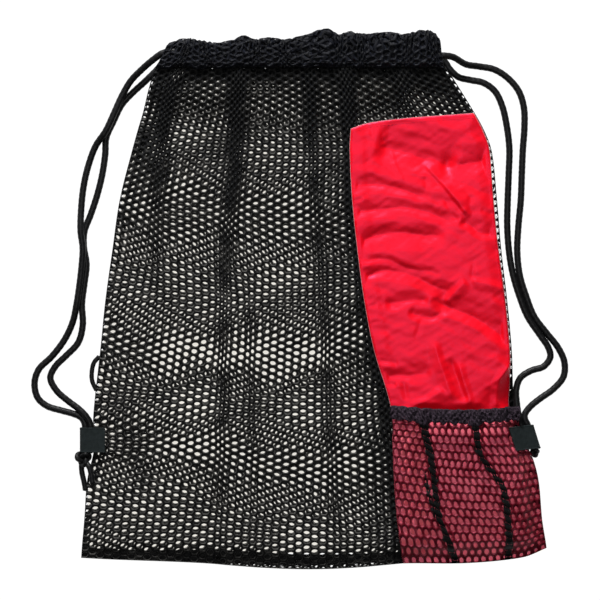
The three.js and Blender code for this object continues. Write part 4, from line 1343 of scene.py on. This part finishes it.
POCKET_LEVELS = 40
POCKET_LEVEL_TOP = -110
POCKET_LAP = 4  # how far the net goes up behind the band
POCKET_LEAST = 0.1  # least share of a hole's width
POCKET_TILT = 9  # how far the middle rows rise to the left and fall to the right
TILT_COMES = (0, 0.3)
TILT_GOES = (1, 0.7)
SLACK = 0.1  # how uneven the holes are
DOUBLED = 0.32  # how much narrower the holes are where the net lies double at the lower right
DOUBLED_X = (184, 200)
DOUBLED_Y = (-150, -175)
STREAK = 1.4  # half width of a dark streak as a share of its gather's, and how uneven it is
STREAK_UNEVEN = 0.3
STREAK_FINE = 3
STREAK_FULL = 2  # extra cloth in a gather that makes a full streak

slack = waves(43, 8, 30, 40)


def pocket_sides(y):
    """Left and right side of the pocket."""
    return side_at("panel", y), side_at("right", y)


def pocket_surface(lattice):
    """Surface of the pocket's net by its cloth, whose columns lie one above the other here, and the share
    of a hole's width left."""
    long, wide = net_size(lattice)
    levels = np.linspace(BOTTOM["y"].min() - LEVEL_SPARE, POCKET_LEVEL_TOP, POCKET_LEVELS)
    grid, tight = gathered(POCKET_GATHERS, wide, levels, pocket_sides)
    low_left, low_right = pocket_sides(BOTTOM["y"].max())

    def at(v, u):
        across = np.clip(1 - u / wide, 0, 1)
        up = np.clip(v / long, 0, 1)
        low_share = (sample(grid, across, 0 * across) - low_left) / (low_right - low_left)
        floor = bottom_at(lerp(PANEL_START, 1, low_share))
        y = lerp(floor, through(POCKET_TOP, "across", "y", across) + POCKET_LAP, up)
        y = y + POCKET_TILT * (1 - 2 * across) * ramp(*TILT_COMES, up) * ramp(*TILT_GOES, up)
        return across, y, (y - levels[0]) / (levels[-1] - levels[0])

    def surface(v, u):
        across, y, level = at(v, u)
        x = sample(grid, across, level)
        return np.stack([x, y, pocket_level(x, y) - NET / 2], 1)

    def opening(v, u):
        across, y, level = at(v, u)
        x = sample(grid, across, level)
        share = np.clip(sample(tight, across, level), POCKET_LEAST, 1)
        doubled = ramp(*DOUBLED_X, x) * ramp(*DOUBLED_Y, y)
        return share * (1 - SLACK + SLACK * slack(x, y)) * (1 - DOUBLED * doubled)

    return surface, opening


def in_streaks(x, y):
    """Which places of the pocket are in the dark streaks of its gathers."""
    ragged = STREAK + STREAK_UNEVEN * slack(x, STREAK_FINE * y)
    inside = np.zeros(len(x), bool)
    for gather in POCKET_GATHERS:
        apart = np.abs(x - through(gather, "y", "x", y))
        drawn = ramp(0, STREAK_FULL, straight(gather, "y", "extra", y))
        inside |= apart < ragged * straight(gather, "y", "half", y) * drawn
    return inside


parts = net(LATTICES["pocket"], *pocket_surface(LATTICES["pocket"]))
pocket = finished(net_mesh("pocket_net", parts, POCKET_NET_PAINTED_RED_LIGHT), "net", "pocket_mesh")
# The streaks keep the plain black net, without the painted red light of the rest of the pocket
second_finish(pocket, BLACK_NET, in_streaks(*face_middles(pocket)[:, :2].T))

# Ruched band along the pocket's top

BAND_COLUMNS = 260
BAND_ROWS = 22
BAND_ENDS = (-0.015, 1.005)  # shares of the pocket's width where the band starts and ends
BAND_CLOTH = 1.5
BAND_LOFT = 0.6  # share of the front wall's loft that the band keeps at its ends
BAND_LOW = 0.9  # lower and upper edge above the pocket's top line
BAND_TOP = 2.7
BAND_SINK = 0.7
BAND_RAGGED = (0.9, 0.4)  # how uneven the lower and the upper edge are
BAND_RAGGED_FINE = 1.4
BAND_RAGGED_ROWS = (60, 90)
BAND_LUMP = 2.5  # how far the band bulges down over the pocket's gathers
BAND_LUMP_SHAPE = (0.16, 9)
BAND_SQUARE = 5  # how square the section of the band is, as a power
RUCHE = 5.2  # length of one ruffle
RUCHE_FULL = 0.9  # height of the band's middle, of its ruffles, and of their unevenness
RUCHE_DEEP = 0.7
RUCHE_UNEVEN = 0.45
RUCHE_UNEVEN_FINE = 3
RUCHE_UNEVEN_TALL = 30
RUCHE_STRAY = 1.6  # how far the ruffles stray from their places
RUCHE_STRAY_TALL = 12


def band_grid():
    """Ruffled face of the band."""
    across, up = unit_grid(BAND_COLUMNS, BAND_ROWS, BAND_ENDS)
    start = through(POCKET_TOP, "across", "y", across)
    x = lerp(*pocket_sides(start), across)
    level = np.maximum(pocket_level(x, start), POCKET_EDGE_Z + BAND_LOFT * LOFT) + ELASTIC - NET
    uneven = waves(41, 8, 13, 9)
    ragged = lerp(*BAND_RAGGED, up) * uneven(BAND_RAGGED_FINE * x, lerp(*BAND_RAGGED_ROWS, up))
    lump = BAND_LUMP * fold_rise(x, start, POCKET_GATHERS, *BAND_LUMP_SHAPE)
    y = lerp(start + BAND_LOW - lump, start + BAND_TOP + ELASTIC_TALL, up) + ragged
    x = x + 0 * up
    round_edge = 1 - np.abs(2 * up - 1) ** BAND_SQUARE
    pleats = np.sin(2 * np.pi * x / RUCHE + RUCHE_STRAY * uneven(x, RUCHE_STRAY_TALL * up))
    ragged_z = uneven(RUCHE_UNEVEN_FINE * x, RUCHE_UNEVEN_TALL * up)
    ruffle = RUCHE_FULL + RUCHE_DEEP * pleats + RUCHE_UNEVEN * ragged_z
    return np.stack([x, y, level - BAND_SINK + round_edge * ruffle], 2)


parts = wall(band_grid(), BAND_CLOTH)
band = finished(add_mesh("pocket_band", *parts, BLACK_ELASTIC), "elastic", "pocket_elastic")

# Seam inside the bottom and the sides

SEAM_LOW = 1.9
SEAM = 1.2
SEAM_CLOTH = 0.7
SEAM_TRIM = 0.35  # how far its uneven face stays below the solid's
SEAM_INSET = 0.3
# Lower and upper edge of the seam at the bottom, above the bag's bottom edge
SEAM_BAND = table("across low high", [
    (0, 0.3, 9.5), (0.15, 0.3, 10.2), (0.27, 0.6, 13.6), (0.36, 2.8, 14.4), (0.5, 3.2, 14.4),
    (0.62, 2.8, 12.6), (0.68, 0.4, 11.4), (1, 0.3, 10),
])
SEAM_COLUMNS = 400
SEAM_ROWS = 14
SEAM_WAVE = 0.3  # how uneven the seam's face is, and its upper edge
SEAM_RAGGED = 0.5
SEAM_RAGGED_ROW = 40
# Overlock thread up the sides: radius, length of a zigzag, its swing, and where it starts and lies
OVERLOCK = 0.25
OVERLOCK_SIDES = 5
OVERLOCK_STEP = 0.6
ZIGZAG = 3.6
ZIGZAG_OUT = 0.7
ZIGZAG_UP = 0.25
OVERLOCK_FROM = 11
OVERLOCK_IN = 0.8
OVERLOCK_Z = 0.55


def seam_grid():
    """Face of the doubled seam along the bottom."""
    across, up = unit_grid(SEAM_COLUMNS, SEAM_ROWS)
    low, high = (straight(SEAM_BAND, "across", edge, across) for edge in ("low", "high"))
    y = bottom_at(across) + lerp(low, high, up)
    left, right = edges_at(y)
    x = lerp(left + SEAM_INSET, right - SEAM_INSET, across)
    uneven = waves(51, 10, 9, 5)
    z = SEAM_LOW + SEAM - SEAM_TRIM + SEAM_WAVE * uneven(x, y) * np.sin(np.pi * up)
    return np.stack([x, y + SEAM_RAGGED * uneven(x, SEAM_RAGGED_ROW) * up, z], 2)


def side_seam(side, across, inward):
    """Overlock thread zigzagging up one side, from the bottom seam to the mouth's lift."""
    y = np.arange(bottom_at(across) + OVERLOCK_FROM, MOUTH_FROM, OVERLOCK_STEP)
    turn = 2 * np.pi * y / ZIGZAG
    x = side_at(side, y) + inward * (SEAM_INSET + OVERLOCK_IN + ZIGZAG_OUT * np.sin(turn))
    z = SEAM_LOW + OVERLOCK_Z + ZIGZAG_UP * np.cos(turn)
    return tube(np.stack([x, y, z], 1), OVERLOCK, OVERLOCK_SIDES)


parts = join([wall(seam_grid(), SEAM_CLOTH), side_seam("left", 0.0, 1), side_seam("right", 1.0, -1)])
finished(add_mesh("seam_tape", *parts, BLACK_NET), "net", "seam_allowance")

# Tabs of folded webbing

TAB_POINTS = 110
TAB_COLUMNS = 48
TAB_CORNER = 15  # points round the fold
TAB_TRIM = 0.2
# Places along the upper layer, from its sewn end to the fold, each with a share of the way from the level
# over the bag's edge to the level of the sewn end, or to the level of the fold's top
TAB_SEWN = [(-TAB_IN, 1), (-TAB_IN * 0.6, 0.6), (-TAB_IN * 0.2, 0.2)]
TAB_FREE = [(1.5, 0.25), (5, 0.75)]
TAB_UNDER = [5, 2.2]  # places along the lower layer
RIB = 0.09  # height, width and length of the webbing's ribs
RIB_WIDE = 2.1
RIB_LONG = 1.9
SELVEDGE = 0.35  # how far the edges thin out, over this width
SELVEDGE_WIDE = 1.0
WEBBING_TRIM = 0.1


def tab_grid(x, y, turn, lean, edge, inner):
    """Ribbed face of a strip of webbing, from its sewn end over the seam and round the fold."""
    seat = max(TAB_TOP - WEBBING, edge) + WEBBING
    bend = (TAB_TOP - TAB_LOW) / 2 - TAB_TRIM
    corner = np.linspace(0.5, -0.5, TAB_CORNER) * np.pi
    fold_u = TAB_OUT - bend + bend * np.cos(corner)
    fold_w = (TAB_TOP + TAB_LOW) / 2 + bend * np.sin(corner)
    points = [(u, lerp(seat, inner + WEBBING, share)) for u, share in TAB_SEWN]
    points += [(u, lerp(seat, TAB_TOP, share)) for u, share in TAB_FREE]
    points += [*zip(fold_u, fold_w)]
    points += [(u, TAB_LOW) for u in TAB_UNDER]
    line = catmull(np.array(points), TAB_POINTS)
    across = np.linspace(-TAB / 2, TAB / 2, TAB_COLUMNS)
    out, up = (line[:, k, None] + 0 * across for k in range(2))
    side = across + 0 * out
    px = x + out * math.cos(lean) - side * math.sin(turn)
    py = y + out * math.sin(lean) + side * math.cos(turn)
    grid = np.stack([px, py, up], 2)
    along = np.linspace(0, length_of(line), len(line))[:, None]
    ribs = RIB * np.sin(2 * np.pi * across / RIB_WIDE) * np.sin(2 * np.pi * along / RIB_LONG)
    selvedge = -SELVEDGE * (1 - ramp(0, SELVEDGE_WIDE, TAB / 2 - np.abs(across)))
    return grid + normals_of(grid) * (ribs + selvedge)[..., None]


for name, facts in TABS.items():
    parts = wall(tab_grid(**facts)[:, ::-1], WEBBING - WEBBING_TRIM)
    obj = finished(add_mesh(name + "_webbing", *parts, BLACK_WEBBING), "webbing", name)

# Stitching

# Length of a stitch, gap after it, and radius of the thread
PANEL_STITCH = (2.4, 1.1, 0.16)
CASING_STITCH = (2.6, 1.4, 0.35)
# Way of the stitches and of the rolled edge round the panel, in shares across it and up it: from the pocket
# up the left side, over the top and down the right side. A step keeps two corner points apart.
STITCH_WAY = dict(left=0.014, right=0.985, low=0.3, top=0.99, points=(120, 60), steps=(0, 0))
EDGE_WAY = dict(left=0, right=1, low=0.325, top=1, points=(300, 100), steps=(0.01, 0.002))
EDGE_ROLL = 0.4
EDGE_SIDES = 6
EDGE_SINK = 0.3
CASING_ROWS = (0.6, 3.6)  # rows of stitches above the mouth's stitch line
CASING_STITCH_Z = 22.2
CASING_STITCH_ENDS = (CASING_LEFT + 2, CASING_RIGHT - 2)
CASING_STITCH_POINTS = 200


def round_panel(left, right, low, top, points, steps):
    """Points on the red panel's face along a way round its sides and top."""
    up = np.linspace(low, top, points[0])
    over = np.linspace(left + steps[0], right, points[1])
    down = np.linspace(top - steps[1], low, points[0])
    across = np.concatenate([0 * up + left, over, 0 * down + right])
    rise = np.concatenate([up, 0 * over + top, down])
    return np.stack([sample(panel_points[..., k], across, rise) for k in range(3)], 1)


parts = stitches(round_panel(**STITCH_WAY), *PANEL_STITCH)
finished(add_mesh("panel_stitches", *parts, RED_THREAD), "nylon")

# The rolled edge's pale pink is a painted highlight of the hem
parts = tube(round_panel(**EDGE_WAY) - (0, 0, EDGE_SINK), EDGE_ROLL, EDGE_SIDES)
finished(add_mesh("panel_edge", *parts, EDGE_THREAD_HIGHLIGHT), "nylon")

rows = []
casing_x = np.linspace(*CASING_STITCH_ENDS, CASING_STITCH_POINTS)
for offset in CASING_ROWS:
    line = np.stack([casing_x, 0 * casing_x + MOUTH_Y + offset, 0 * casing_x + CASING_STITCH_Z + offset], 1)
    rows.append(stitches(line, *CASING_STITCH))
finished(add_mesh("casing_stitches", *join(rows), BLACK_THREAD), "net")
